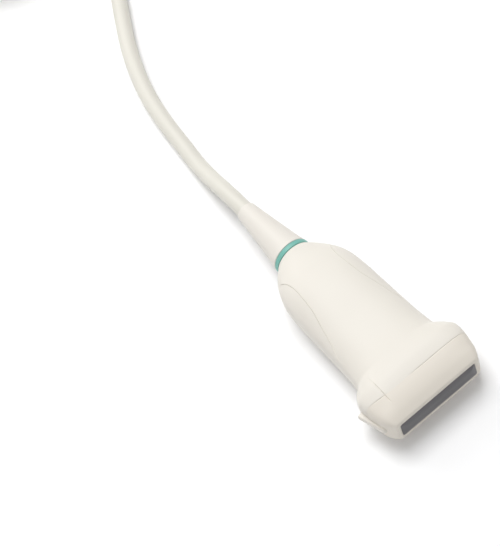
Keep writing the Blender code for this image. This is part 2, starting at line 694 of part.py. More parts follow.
def signal_flex(name, side):
    """A film circuit from behind the ceramic, back over the backing, down to its socket."""
    t = FLEX_THICKNESS / 2
    over_bar = CHASSIS_HALF_HEIGHT + GAP + t
    rear_z = ON_BOARD_Z + SOCKET_HEIGHT / 2
    path = [
        (FLEX_Y + t, GAP / 2),
        (FLEX_Y + t, FLEX_Z),
        (SPREADER_Y + SPREADER_THICKNESS, FLEX_Z),
        (CHASSIS_FRONT_Y - GAP, over_bar),
        (CHASSIS_FRONT_Y + CHASSIS_BAR + GAP, over_bar),
        (SOCKET_Y - GAP, rear_z),
    ]
    points = [Vector(p) for p in path]
    one, two = [], []
    for i, p in enumerate(points):
        ahead = (points[min(i + 1, len(points) - 1)] - p).normalized()
        behind = (p - points[max(i - 1, 0)]).normalized()
        along = (ahead + behind).normalized()
        across = Vector((-along.y, along.x))
        reach = t / max(abs(across.dot(Vector((-ahead.y, ahead.x)))), 0.5) if ahead.length else t
        reach = t if i in (0, len(points) - 1) else reach
        one.append(p + across * reach)
        two.append(p - across * reach)
    outline = one + two[::-1]
    rings = [[Vector((x, y, side * z)) for y, z in outline] for x in (-FLEX_HALF_WIDTH, FLEX_HALF_WIDTH)]
    return loft(name, rings, FLEX_AMBER, probe)


def array_carrier():
    """A rectangular tube that holds the stack together behind the window."""
    hole_x, hole_z = CARRIER_HOLE
    out_x, out_z = hole_x + CARRIER_WALL, hole_z + CARRIER_WALL
    start = FLEX_Y - GAP
    rings = [
        rounded(start, hole_x, hole_z, 30.0),
        rounded(start, out_x, out_z, 14.0),
        rounded(start + CARRIER_LENGTH, out_x, out_z, 14.0),
        rounded(start + CARRIER_LENGTH, hole_x, hole_z, 30.0),
    ]
    return sleeve("array_carrier", rings, CHASSIS_BLACK, probe)


def heat_spreader():
    """A plate behind the backing with a stem that carries heat to the chassis."""
    plate = SPREADER_Y + SPREADER_THICKNESS
    stem = CHASSIS_FRONT_Y - GAP
    outline = [
        (-ARRAY_HALF_LENGTH, SPREADER_Y),
        (ARRAY_HALF_LENGTH, SPREADER_Y),
        (ARRAY_HALF_LENGTH, plate),
        (SPREADER_STEM_HALF_WIDTH, plate),
        (SPREADER_STEM_HALF_WIDTH, stem),
        (-SPREADER_STEM_HALF_WIDTH, stem),
        (-SPREADER_STEM_HALF_WIDTH, plate),
        (-ARRAY_HALF_LENGTH, plate),
    ]
    height = SPREADER_STEM_HALF_HEIGHT
    return prism("heat_spreader", outline, -height, height, ALUMINIUM, probe)


# Chassis, board and cable entry

def chassis_frame():
    """A flat frame that fills the handle's mid plane, with a window for the board."""
    ys = np.linspace(CHASSIS_FRONT_Y, CHASSIS_BACK_Y, 14)
    reach = [half_width(y) - WALL - GAP - 0.0006 for y in ys]
    right = [(x, y) for x, y in zip(reach, ys)]
    left = [(-x, y) for x, y in right[::-1]]
    notch_y = BOARD_Y + BOARD_LENGTH + GAP + CHASSIS_BAR
    notch = [
        (CHASSIS_NOTCH_HALF_WIDTH, ys[-1]),
        (CHASSIS_NOTCH_HALF_WIDTH, notch_y),
        (-CHASSIS_NOTCH_HALF_WIDTH, notch_y),
        (-CHASSIS_NOTCH_HALF_WIDTH, ys[-1]),
    ]
    height = CHASSIS_HALF_HEIGHT
    frame = prism("chassis_frame", right + notch + left, -height, height, CHASSIS_BLACK, probe)
    window_x = BOARD_HALF_WIDTH + GAP
    low = (-window_x, BOARD_Y - GAP, -2 * height)
    high = (window_x, BOARD_Y + BOARD_LENGTH + GAP, 2 * height)
    return carve(frame, [block("board_window", low, high, CHASSIS_BLACK, probe)])


def on_board(name, side, y, length, half_x, height, material):
    low, high = sorted((side * ON_BOARD_Z, side * (ON_BOARD_Z + height)))
    return block(name, (-half_x, y, low), (half_x, y + length, high), material, probe)


def shield_can(name, side):
    """A pressed cover, open towards the board."""
    length = TERMINAL_Y - GAP - CAN_Y
    can = on_board(name, side, CAN_Y, length, SOCKET_HALF_WIDTH, CAN_HEIGHT, TINNED_STEEL)
    low, high = sorted((0.0, side * (ON_BOARD_Z + CAN_HEIGHT - CAN_WALL)))
    inner = (SOCKET_HALF_WIDTH - CAN_WALL, CAN_Y + length - CAN_WALL)
    hollow = block(
        name + "_hollow", (-inner[0], CAN_Y + CAN_WALL, low), (inner[0], inner[1], high), TINNED_STEEL, probe
    )
    return carve(can, [hollow])


def coax_ribbon(name, side):
    """Flat bundled coaxes from the board's terminals, gathered into the end of the jacket."""
    start = TERMINAL_Y + TERMINAL_LENGTH + GAP
    top_z = ON_BOARD_Z + TERMINAL_HEIGHT - RIBBON_HALF_THICKNESS
    end_z = RIBBON_HALF_THICKNESS + GAP / 2
    notch_y = BOARD_Y + BOARD_LENGTH + GAP + CHASSIS_BAR
    clear_z = max(top_z, CHASSIS_HALF_HEIGHT + GAP + RIBBON_HALF_THICKNESS)
    half_wide = SOCKET_HALF_WIDTH - 0.0005
    stages = [
        (start, half_wide, clear_z),
        ((start + notch_y) / 2, half_wide * 0.8, clear_z),
        (notch_y, CHASSIS_NOTCH_HALF_WIDTH - 0.0012, clear_z),
        (CLAMP_Y - GAP, RIBBON_END_HALF_WIDTH, end_z + 0.0006),
        (JACKET_START_Y - GAP, RIBBON_END_HALF_WIDTH, end_z),
    ]
    rings = [rounded(y, x, RIBBON_HALF_THICKNESS, 3.0, side * z) for y, x, z in stages]
    return loft(name, rings, RIBBON_BLUE, probe)


def clamp_half(name, side):
    """Half of the block that grips the jacket, with a channel and two screw holes."""
    low, high = sorted((side * GAP / 2, side * CLAMP_HEIGHT))
    back = CLAMP_Y + CLAMP_LENGTH
    half = block(
        name, (-CLAMP_HALF_WIDTH, CLAMP_Y, low), (CLAMP_HALF_WIDTH, back, high), CLAMP_GREY, probe
    )
    middle = CLAMP_Y + CLAMP_LENGTH / 2
    cutters = [bar("channel", (0, CLAMP_Y - 0.001, 0), (0, back + 0.001, 0), BORE_RADIUS, CLAMP_GREY, probe)]
    for x in (-CLAMP_SCREW_X, CLAMP_SCREW_X):
        ends = ((x, middle, -2 * CLAMP_HEIGHT), (x, middle, 2 * CLAMP_HEIGHT))
        cutters.append(bar("screw_hole", *ends, SCREW_RADIUS + GAP, CLAMP_GREY, probe))
    return carve(half, cutters)


def pan_screw(name, place, down, radius, head_radius, head_height, parent):
    """A screw whose head is at place and whose shank runs to down, with a driver recess."""
    place, down = Vector(place), Vector(down)
    axis = (place - down).normalized()
    head = bar(name, place, place + axis * head_height, head_radius, TINNED_STEEL, parent)
    shank = bar("shank", place + axis * head_height / 2, down, radius, TINNED_STEEL, parent)
    carve(head, [shank], "UNION")
    recess = bar(
        "recess", place + axis * head_height / 2, place + axis * head_height * 2, head_radius / 2, TINNED_STEEL, parent
    )
    return carve(head, [recess])


def braid_ferrule():
    ends = (FERRULE_Y, BOOT_FLANGE_Y - GAP)
    outer = BORE_RADIUS + FERRULE_WALL
    profile = [(ends[0], BORE_RADIUS), (ends[0], outer), (ends[1], outer), (ends[1], BORE_RADIUS)]
    return turned("braid_ferrule", profile, BRASS, probe)


# Lead

def smooth_route(points, spacing):
    """Evenly spaced points on a smooth curve through a chosen route."""
    knots = [Vector(p) for p in points]
    ends = [2 * knots[0] - knots[1], *knots, 2 * knots[-1] - knots[-2]]
    fine = []
    for a, b, c, d in zip(ends, ends[1:], ends[2:], ends[3:]):
        for i in range(20):
            t = i / 20
            fine.append(
                0.5 * (2 * b + (c - a) * t + (2 * a - 5 * b + 4 * c - d) * t**2 + (3 * b - a - 3 * c + d) * t**3)
            )
    fine.append(knots[-1])
    lengths = np.cumsum([0.0] + [(q - p).length for p, q in zip(fine, fine[1:])])
    count = ceil(lengths[-1] / spacing)
    columns = [np.interp(np.linspace(0, lengths[-1], count + 1), lengths, [p[k] for p in fine]) for k in range(3)]
    return [Vector(p) for p in zip(*columns)]


def tube(name, points):
    """The jacket as a bevelled curve with filled ends."""
    curve = bpy.data.curves.new(name, "CURVE")
    curve.dimensions = "3D"
    spline = curve.splines.new("POLY")
    spline.points.add(len(points) - 1)
    for corner, p in zip(spline.points, points):
        corner.co = (*p, 1.0)
    curve.bevel_depth = JACKET_RADIUS
    curve.bevel_resolution = 3
    curve.use_fill_caps = True
    curve.materials.append(JACKET_CREAM)
    piece = bpy.data.objects.new(name, curve)
    bpy.context.collection.objects.link(piece)
    return piece


# From the clamp through the strain relief, down to the surface and away to the coil
LEAD_ROUTE = (
    (AXIS_X, LENS_Y + JACKET_START_Y, HALF_THICKNESS),
    (AXIS_X, LENS_Y + BOOT_Y, HALF_THICKNESS),
    (AXIS_X, LENS_Y + BOOT_Y + BOOT_LENGTH - 0.006, HALF_THICKNESS),
    (AXIS_X, LENS_Y + BOOT_Y + BOOT_LENGTH + 0.004, HALF_THICKNESS),
    (0.0014, 0.0940, 0.0104),
    (0.0019, 0.1060, 0.0069),
    (0.0026, 0.1180, 0.0043),
    (0.0036, 0.1290, 0.0039),
    (0.0053, 0.1450, 0.0039),
    (0.0078, 0.1600, 0.0039),
    (0.0118, 0.1750, 0.0039),
    (0.0184, 0.1920, 0.0039),
    (0.0277, 0.2100, 0.0039),
    (0.0385, 0.2300, 0.0039),
    (0.0467, 0.2460, 0.0039),
    (0.0544, 0.2623, 0.0039),
    (0.0614, 0.2790, 0.0039),
)


def lead_to_coil():
    """Along the surface to the coil, and round its outside to where the first turn begins."""
    centre = Vector((*COIL_CENTRE, JACKET_RADIUS + GAP / 3))
    beside = [
        centre + Vector((cos(a), sin(a), 0.0)) * BESIDE_COIL_RADIUS
        for a in np.linspace(*(radians(v) for v in LEAD_BESIDE_COIL), 14)
    ]
    return tube("lead_run", smooth_route((*LEAD_ROUTE, *beside), 0.0085))


def lead_to_plug():
    """From one of the coil's outer turns, straight on into the plug's strain relief."""
    x = COIL_CENTRE[0] + OUTER_TURN_RADIUS
    exit_z = COIL_BASE_Z + (TURNS_BELOW_EXIT + 0.5) * TURN_PITCH
    end = PLUG_REAR_Y + PLUG_CLAMP_Y + PLUG_CLAMP_LENGTH
    route = (
        (x, COIL_CENTRE[1] + COIL_REACH, exit_z + 0.0014),
        (x, PLUG_REAR_Y - PLUG_BOOT_LENGTH, PLUG_HALF_HEIGHT),
        (x, end, PLUG_HALF_HEIGHT),
    )
    return tube("lead_tail", smooth_route(route, 0.0085))


def lead_coil():
    """The wound length as one turned ring with rounded edges."""
    near = COIL_MEAN_RADIUS - COIL_HALF_WIDTH
    far = COIL_RADIUS
    edge = TURN_PITCH / 2
    corners = ((far - edge, COIL_TOP_Z - edge, 0), (near + edge, COIL_TOP_Z - edge, 90))
    corners += ((near + edge, COIL_BASE_Z + edge, 180), (far - edge, COIL_BASE_Z + edge, 270))
    profile = []
    for r, z, start in corners:
        for i in range(3):
            a = radians(start + 45 * i)
            profile.append((r + edge * cos(a), z + edge * sin(a)))
    bm = bmesh.new()
    steps = 40
    rings = []
    for i in range(steps):
        a = tau * i / steps
        centre = Vector((*COIL_CENTRE, 0.0))
        rings.append([bm.verts.new(centre + Vector((r * cos(a), r * sin(a), z))) for r, z in profile])
    bridge(bm, rings + rings[:1], True)
    return add("lead_coil", bm, JACKET_CREAM)


def coil_tie(name, angle):
    """A hook-and-loop strap closed around the coil's turns."""
    a = radians(angle)
    out = Vector((cos(a), sin(a), 0.0))
    along = Vector((-sin(a), cos(a), 0.0))
    centre = Vector((*COIL_CENTRE, 0.0))
    rings = []
    for side in (-1, 1):
        for spare in (GAP, GAP + TIE_THICKNESS):
            near = COIL_MEAN_RADIUS - COIL_HALF_WIDTH - spare
            far = COIL_RADIUS + spare
            low = COIL_BASE_Z - spare
            high = COIL_TOP_Z + spare
            cut = TURN_PITCH / 4
            sag = TIE_WIDTH**2 / 8 / near
            near -= sag * 1.6 if spare == GAP + TIE_THICKNESS else sag * 1.6
            far += 0.0
            frame = [(far - cut, low), (far, low + cut), (far, high - cut), (far - cut, high)]
            frame += [(near + cut, high), (near, high - cut), (near, low + cut), (near + cut, low)]
            ring = [centre + out * r + along * side * TIE_WIDTH / 2 + Vector((0, 0, z)) for r, z in frame]
            rings.append(ring)
    order = [rings[0], rings[1], rings[3], rings[2]]
    return sleeve(name, order, TIE_GREY)


# Plug

def plug_outline(inset):
    """The plug's plan, a rectangle with round corners, drawn in by an inset."""
    radius = max(PLUG_CORNER - inset, 0.0005)
    xs, ys = PLUG_HALF_WIDTH - inset - radius, (inset + radius, PLUG_DEPTH - inset - radius)
    points = []
    for x, y, start in ((xs, ys[0], -90), (xs, ys[1], 0), (-xs, ys[1], 90), (-xs, ys[0], 180)):
        for i in range(5):
            a = radians(start + 22.5 * i)
            points.append((x + radius * cos(a), y + radius * sin(a)))
    return points


def plug_shell(name, side):
    """One moulded half of the plug: a tray with round edges, bosses, and its openings."""
    levels = [(0.0, GAP / 2), (0.0, PLUG_HALF_HEIGHT - PLUG_EDGE)]
    for i in (1, 2, 3):
        a = radians(30 * i)
        levels.append((PLUG_EDGE * (1 - cos(a)), PLUG_HALF_HEIGHT - PLUG_EDGE * (1 - sin(a))))
    inner = [(PLUG_WALL, PLUG_HALF_HEIGHT - PLUG_WALL), (PLUG_WALL, GAP / 2)]
    bm = bmesh.new()
    rings = [
        [bm.verts.new((x, y, side * z)) for x, y in plug_outline(inset)] for inset, z in levels + inner
    ]
    outside, inside = rings[: len(levels)], rings[len(levels) :]
    bridge(bm, outside, True)
    bridge(bm, inside, True)
    bridge(bm, [inside[-1], outside[0]], True)
    bm.faces.new(outside[-1])
    bm.faces.new(inside[0])
    shell = add(name, bm, PLUG_GREY, plug)
    bosses = []
    for x in (-PLUG_SCREW_X, PLUG_SCREW_X):
        for y in (PLUG_SCREW_REAR_Y, PLUG_SCREW_FRONT_Y):
            ends = ((x, y, side * GAP / 2), (x, y, side * (PLUG_HALF_HEIGHT - PLUG_WALL / 2)))
            bosses.append(bar("boss", *ends, PLUG_BOSS_RADIUS, PLUG_GREY, plug))
    carve(shell, bosses, "UNION")
    return carve(shell, plug_openings(side))


def plug_openings(side):
    """Cutters for the cable, the shroud, the guide pins and the screws."""
    reach = 2 * PLUG_HALF_HEIGHT
    front = PLUG_DEPTH
    cable = PLUG_BOOT_SPIGOT_RADIUS + GAP
    cutters = [
        bar("cable_way", (PLUG_CABLE_X, -0.01, 0), (PLUG_CABLE_X, 2 * PLUG_WALL, 0), cable, PLUG_GREY, plug),
        block(
            "shroud_way",
            (-SHROUD_HALF_WIDTH - GAP, front - 2 * PLUG_WALL, -SHROUD_HALF_HEIGHT - GAP),
            (SHROUD_HALF_WIDTH + GAP, front + 0.01, SHROUD_HALF_HEIGHT + GAP),
            PLUG_GREY,
            plug,
        ),
    ]
    for x in (-GUIDE_PIN_X, GUIDE_PIN_X):
        ends = ((x, front - 2 * PLUG_WALL, 0), (x, front + 0.01, 0))
        cutters.append(bar("pin_way", *ends, GUIDE_PIN_RADIUS + GAP, PLUG_GREY, plug))
    for x in (-PLUG_SCREW_X, PLUG_SCREW_X):
        for y in (PLUG_SCREW_REAR_Y, PLUG_SCREW_FRONT_Y):
            top = PLUG_HALF_HEIGHT - 2 * PLUG_WALL
            ends = ((x, y, -reach), (x, y, top if side > 0 else 0.0))
            cutters.append(bar("screw_way", *ends, PLUG_SCREW_RADIUS + GAP, PLUG_GREY, plug))
            if side < 0:
                seat = -PLUG_HALF_HEIGHT + PLUG_SCREW_HEAD_HEIGHT + GAP
                ends = ((x, y, -reach), (x, y, seat))
                cutters.append(bar("head_seat", *ends, PLUG_SCREW_HEAD_RADIUS + GAP, PLUG_GREY, plug))
    return cutters


def plug_shroud():
    """The metal frame around the contacts."""
    rings = []
    ends = (PLUG_DEPTH - SHROUD_INSIDE, PLUG_DEPTH + SHROUD_STAND)
    for y, inset in ((ends[0], SHROUD_WALL), (ends[0], 0.0), (ends[1], 0.0), (ends[1], SHROUD_WALL)):
        rings.append(rounded(y, SHROUD_HALF_WIDTH - inset, SHROUD_HALF_HEIGHT - inset, 16.0))
    return sleeve("plug_shroud", rings, TINNED_STEEL, plug)


def contact_block():
    inset = SHROUD_WALL + GAP + 0.0004
    back, front = PLUG_DEPTH - SHROUD_INSIDE, PLUG_DEPTH + SHROUD_STAND - CONTACT_RECESS
    half = (SHROUD_HALF_WIDTH - inset, SHROUD_HALF_HEIGHT - inset)
    rings = [rounded(y, *half, 16.0) for y in (back, front - CONTACT_THICKNESS - GAP)]
    return loft("contact_block", rings, CHASSIS_BLACK, plug)


def contact_comb(name, side):
    """A row of contact blades on one carrier strip."""
    half = SHROUD_HALF_WIDTH - SHROUD_WALL - 0.0030
    pitch = 2 * half / CONTACT_COUNT
    outline = [(half, side * (CONTACT_ROW_Z + 0.0026)), (-half, side * (CONTACT_ROW_Z + 0.0026))]
    for i in range(CONTACT_COUNT):
        left = -half + pitch * i
        right = left + pitch * 0.6
        root, tip = side * (CONTACT_ROW_Z + 0.0012), side * (CONTACT_ROW_Z - 0.0024)
        outline += [(left, root), (left, tip), (right, tip), (right, root)]
    outline += [(half, side * (CONTACT_ROW_Z + 0.0012))]
    tidy = [outline[0], outline[1]] + outline[3:]
    front = PLUG_DEPTH + SHROUD_STAND - CONTACT_RECESS
    rings = [[Vector((x, y, z)) for x, z in tidy] for y in (front - CONTACT_THICKNESS, front)]
    return loft(name, rings, CONTACT_GOLD, plug)


def guide_pin(name, x):
    """A turned pin with a flange behind the plug's front wall and a tapered nose."""
    seat = PLUG_DEPTH - PLUG_WALL - GAP
    tip = PLUG_DEPTH + GUIDE_PIN_STAND
    r = GUIDE_PIN_RADIUS
    profile = [
        (seat - GUIDE_PIN_FLANGE, r * 1.6),
        (seat, r * 1.6),
        (seat, r),
        (tip - r, r),
        (tip, r * 0.4),
    ]
    return loft(name, [circle(y, radius, x) for y, radius in profile], TINNED_STEEL, plug)


def plug_board():
    back = PLUG_DEPTH - SHROUD_INSIDE - GAP
    low = (-PLUG_BOARD_HALF_WIDTH, PLUG_BOARD_REAR_Y, -BOARD_HALF_THICKNESS)
    return block("plug_board", low, (PLUG_BOARD_HALF_WIDTH, back, BOARD_HALF_THICKNESS), BOARD_GREEN, plug)


def plug_strain_relief():
    """A short cone with a spigot and a flange that the two shells trap."""
    x = PLUG_CABLE_X
    tip = -PLUG_BOOT_LENGTH
    flange = PLUG_BOOT_SPIGOT_RADIUS + PLUG_BOOT_FLANGE
    profile = [
        (PLUG_WALL + GAP + PLUG_BOOT_FLANGE, BORE_RADIUS),
        (PLUG_WALL + GAP + PLUG_BOOT_FLANGE, flange),
        (PLUG_WALL + GAP, flange),
        (PLUG_WALL + GAP, PLUG_BOOT_SPIGOT_RADIUS),
        (-GAP, PLUG_BOOT_SPIGOT_RADIUS),
        (-GAP, PLUG_BOOT_BASE_RADIUS),
        (tip * 0.5, (PLUG_BOOT_BASE_RADIUS + BOOT_TIP_RADIUS) / 2),
        (tip + BOOT_TIP_ROUNDING, BOOT_TIP_RADIUS + 0.0002),
        (tip, (BOOT_TIP_RADIUS + BORE_RADIUS) / 2),
        (tip, BORE_RADIUS),
    ]
    return turned("plug_strain_relief", profile, BOOT_CREAM, plug, x)


def plug_cable_clamp():
    """A block that the shells press around the jacket's end."""
    start = PLUG_CLAMP_Y
    end = start + PLUG_CLAMP_LENGTH
    half = PLUG_CLAMP_HALF_WIDTH
    low, high = (PLUG_CABLE_X - half, start, -half), (PLUG_CABLE_X + half, end, half)
    clamp = block("plug_cable_clamp", low, high, CLAMP_GREY, plug)
    way = bar(
        "way", (PLUG_CABLE_X, start - 0.001, 0), (PLUG_CABLE_X, end + 0.001, 0), BORE_RADIUS, CLAMP_GREY, plug
    )
    return carve(clamp, [way])


def plug_screws():
    for x, where in ((-PLUG_SCREW_X, "left"), (PLUG_SCREW_X, "right")):
        for y, end in ((PLUG_SCREW_REAR_Y, "rear"), (PLUG_SCREW_FRONT_Y, "front")):
            head = -PLUG_HALF_HEIGHT + PLUG_SCREW_HEAD_HEIGHT
            pan_screw(
                f"plug_screw_{end}_{where}",
                (x, y, head),
                (x, y, PLUG_HALF_HEIGHT - 3 * PLUG_WALL),
                PLUG_SCREW_RADIUS,
                PLUG_SCREW_HEAD_RADIUS,
                PLUG_SCREW_HEAD_HEIGHT,
                plug,
            )


# Assembly

handle_shell("handle_upper_shell", 1)
handle_shell("handle_lower_shell", -1)
nosepiece()
orientation_rib()
identification_ring()
strain_relief()

acoustic_lens()
layer("matching_layer_outer", OUTER_MATCHING_Y, OUTER_MATCHING_THICKNESS, MATCHING_BLACK)
layer("matching_layer_inner", INNER_MATCHING_Y, INNER_MATCHING_THICKNESS, MATCHING_BLACK)
piezo_array()
layer("backing_block", BACKING_Y, BACKING_LENGTH, BACKING_GREY)
array_carrier()
heat_spreader()

chassis_frame()
block(
    "interconnect_board",
    (-BOARD_HALF_WIDTH, BOARD_Y, -BOARD_HALF_THICKNESS),
    (BOARD_HALF_WIDTH, BOARD_Y + BOARD_LENGTH, BOARD_HALF_THICKNESS),
    BOARD_GREEN,
    probe,
)
for side, where in ((1, "upper"), (-1, "lower")):
    signal_flex(f"signal_flex_{where}", side)
    on_board(f"flex_socket_{where}", side, SOCKET_Y, SOCKET_LENGTH, SOCKET_HALF_WIDTH, SOCKET_HEIGHT, SOCKET_IVORY)
    shield_can(f"shield_can_{where}", side)
    on_board(
        f"coax_terminal_{where}",
        side,
        TERMINAL_Y,
        TERMINAL_LENGTH,
        SOCKET_HALF_WIDTH,
        TERMINAL_HEIGHT,
        SOCKET_IVORY,
    )
    coax_ribbon(f"coax_ribbon_{where}", side)
    clamp_half(f"cable_clamp_{where}", side)
for x, where in ((-CLAMP_SCREW_X, "left"), (CLAMP_SCREW_X, "right")):
    middle = CLAMP_Y + CLAMP_LENGTH / 2
    pan_screw(
        f"clamp_screw_{where}",
        (x, middle, CLAMP_HEIGHT + GAP),
        (x, middle, -CLAMP_HEIGHT + GAP),
        SCREW_RADIUS,
        SCREW_HEAD_RADIUS,
        SCREW_HEAD_HEIGHT,
        probe,
    )
braid_ferrule()

lead_to_coil()
lead_coil()
lead_to_plug()
for angle, name in zip(TIE_ANGLES, ("coil_tie_back", "coil_tie_front")):
    coil_tie(name, angle)

plug_shell("plug_upper_shell", 1)
plug_shell("plug_lower_shell", -1)
plug_shroud()
contact_block()
contact_comb("contact_comb_upper", 1)
contact_comb("contact_comb_lower", -1)
guide_pin("guide_pin_left", -GUIDE_PIN_X)
guide_pin("guide_pin_right", GUIDE_PIN_X)
plug_board()
plug_strain_relief()
plug_cable_clamp()
plug_screws()
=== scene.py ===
# %% [markdown]
# # Dressing an ultrasound probe
#
# The probe is a hand-held head that sends and receives ultrasound through the dark strip across
# its nose. It was drawn first as plain CAD solids. This lesson dresses that frame: finer skins for
# the moulded parts, one real length of lead, and a finish for every piece. Everything is in metres,
# with the probe lying flat, its nose towards -Y and its lead towards +Y.

# %% Load the frame
from math import cos, pi, radians, sin, tau

import bmesh
import bpy
import numpy as np
from mathutils import Matrix, Vector


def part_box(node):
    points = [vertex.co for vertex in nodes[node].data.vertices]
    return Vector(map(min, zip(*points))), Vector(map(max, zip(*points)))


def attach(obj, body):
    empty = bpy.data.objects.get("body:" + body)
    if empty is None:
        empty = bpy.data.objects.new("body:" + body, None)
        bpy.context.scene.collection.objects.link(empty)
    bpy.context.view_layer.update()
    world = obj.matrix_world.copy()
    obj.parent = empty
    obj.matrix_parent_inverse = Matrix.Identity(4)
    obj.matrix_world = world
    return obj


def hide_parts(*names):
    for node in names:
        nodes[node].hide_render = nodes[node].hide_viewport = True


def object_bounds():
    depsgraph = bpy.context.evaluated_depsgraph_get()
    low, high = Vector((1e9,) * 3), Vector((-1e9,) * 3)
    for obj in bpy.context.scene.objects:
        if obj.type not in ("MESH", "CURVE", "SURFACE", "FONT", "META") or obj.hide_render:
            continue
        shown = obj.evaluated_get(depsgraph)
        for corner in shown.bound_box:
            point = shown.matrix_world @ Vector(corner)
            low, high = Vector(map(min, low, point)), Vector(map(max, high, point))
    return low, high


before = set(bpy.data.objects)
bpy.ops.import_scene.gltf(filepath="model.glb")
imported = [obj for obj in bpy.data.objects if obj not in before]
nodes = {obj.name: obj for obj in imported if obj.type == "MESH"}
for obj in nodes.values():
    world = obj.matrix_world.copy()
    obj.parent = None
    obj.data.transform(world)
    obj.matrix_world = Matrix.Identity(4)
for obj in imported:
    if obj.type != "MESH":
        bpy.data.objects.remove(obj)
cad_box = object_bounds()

scene = bpy.context.scene
cad_size = [round(v * 1000, 1) for v in cad_box[1] - cad_box[0]]
print(len(nodes), "CAD pieces in a box of", cad_size, "mm")

# %% [markdown]
# ## Where the probe lies
#
# The turned ring behind the handle is the easiest thing to measure: its middle gives the axis of
# the whole probe. The nose cap's front face gives the zero from which every distance along the
# probe is counted, so the pieces below can be drawn in the probe's own plain numbers.

# %% Find the probe's axis and its front face
ring_low, ring_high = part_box("identification_ring")
nose_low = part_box("nosepiece")[0]
PROBE = Vector(((ring_low.x + ring_high.x) / 2, nose_low.y, (ring_low.z + ring_high.z) / 2))
RING_FRONT, RING_BACK = ring_low.y - PROBE.y, ring_high.y - PROBE.y
RING_RADIUS = (ring_high.x - ring_low.x) / 2
print("axis at x", round(PROBE.x * 1000, 2), "mm")
print("ring from", round(RING_FRONT * 1000, 2), "mm behind the nose")

# %% [markdown]
# ## Camera
#
# The photograph was matched by lining up points that can be seen both in it and on the solids. A
# camera is only a place and three directions: right, up and back towards the viewer. A long lens
# far away gives the calm, nearly parallel lines of a product photograph.

# %% Camera
CAMERA_PLACE = (-0.1382, -0.33165, 0.6373)
RIGHTWARDS, BACKWARDS = (0.7649, -0.6045, -0.2227), (-0.1637, -0.5167, 0.8403)
FOCAL_PIXELS, PHOTO_HEIGHT = 1800, 546
SENSOR_HEIGHT = 36.0  # millimetres

back = Vector(BACKWARDS).normalized()
up = back.cross(Vector(RIGHTWARDS).normalized()).normalized()
facing = Matrix((up.cross(back), up, back)).transposed().to_4x4()
camera_data = bpy.data.cameras.new("camera")
camera_data.sensor_fit = "VERTICAL"
camera_data.sensor_height = SENSOR_HEIGHT
camera_data.lens = SENSOR_HEIGHT * FOCAL_PIXELS / PHOTO_HEIGHT
camera_data.clip_start = 0.01
camera = bpy.data.objects.new("camera", camera_data)
camera.matrix_world = Matrix.Translation(CAMERA_PLACE) @ facing
scene.collection.objects.link(camera)
scene.camera = camera
print("camera", round(camera_data.lens), "mm lens,", round(camera.location.length, 2), "m from the probe")

# %% [markdown]
# ## The lead's way
#
# The real lead is about two metres of soft round jacket. The photograph shows the first part, which
# comes out of the handle, settles on the table and curves away. The rest is put away in a coil of
# eight turns beside the plug. A smooth curve through a few chosen points gives the free part.

# %% A smooth curve through chosen points
JACKET_RADIUS = 0.0038
STEPS_BETWEEN = 24  # short steps of the curve from one chosen point to the next
SPACING = 0.0030  # between the points that the lead keeps


def smooth_route(points):
    """Evenly spaced points on a smooth curve through a chosen route."""
    knots = [Vector(p) for p in points]
    ends = [2 * knots[0] - knots[1], *knots, 2 * knots[-1] - knots[-2]]
    fine = []
    for a, b, c, d in zip(ends, ends[1:], ends[2:], ends[3:]):
        for i in range(STEPS_BETWEEN):
            t = i / STEPS_BETWEEN
            curve = (3 * b - a - 3 * c + d) * t**3 + (2 * a - 5 * b + 4 * c - d) * t**2
            fine.append(0.5 * (2 * b + (c - a) * t + curve))
    fine.append(knots[-1])
    lengths = np.cumsum([0.0] + [(q - p).length for p, q in zip(fine, fine[1:])])
    places = np.linspace(0, lengths[-1], max(2, round(lengths[-1] / SPACING) + 1))
    columns = [np.interp(places, lengths, [p[k] for p in fine]) for k in range(3)]
    return [Vector(p) for p in zip(*columns)]


BOOT_FRONT, BOOT_TIP = 0.0928, 0.1240
IN_HANDLE, IN_TIP, PAST_TIP = 0.0800, BOOT_TIP - 0.006, BOOT_TIP + 0.004
on_axis = [(PROBE.x, PROBE.y + y, PROBE.z) for y in (IN_HANDLE, BOOT_FRONT, IN_TIP, PAST_TIP)]
free_points = [
    (0.0014, 0.0940, 0.0104),
    (0.0019, 0.1060, 0.0069),
    (0.0028, 0.1180, 0.0043),
    (0.0041, 0.1290, 0.0039),
    (0.0059, 0.1450, 0.0039),
    (0.0084, 0.1600, 0.0039),
    (0.0124, 0.1750, 0.0039),
    (0.0188, 0.1920, 0.0039),
    (0.0277, 0.2100, 0.0039),
    (0.0385, 0.2300, 0.0039),
    (0.0467, 0.2460, 0.0039),
    (0.0544, 0.2623, 0.0039),
    (0.0614, 0.2790, 0.0039),
]
print(len(on_axis) + len(free_points), "chosen points from the handle to the coil")

# %% [markdown]
# A coil two turns wide and four high has eight places for the lead in its section. The lead lies
# beside the coil first, and on each turn it moves on by one place: in twice, up three times, out,
# and down twice. The moves overlap, and none starts before the move ahead of it, so no turn runs
# through another. Each takes about a third of a turn, because the jacket can't bend tightly.

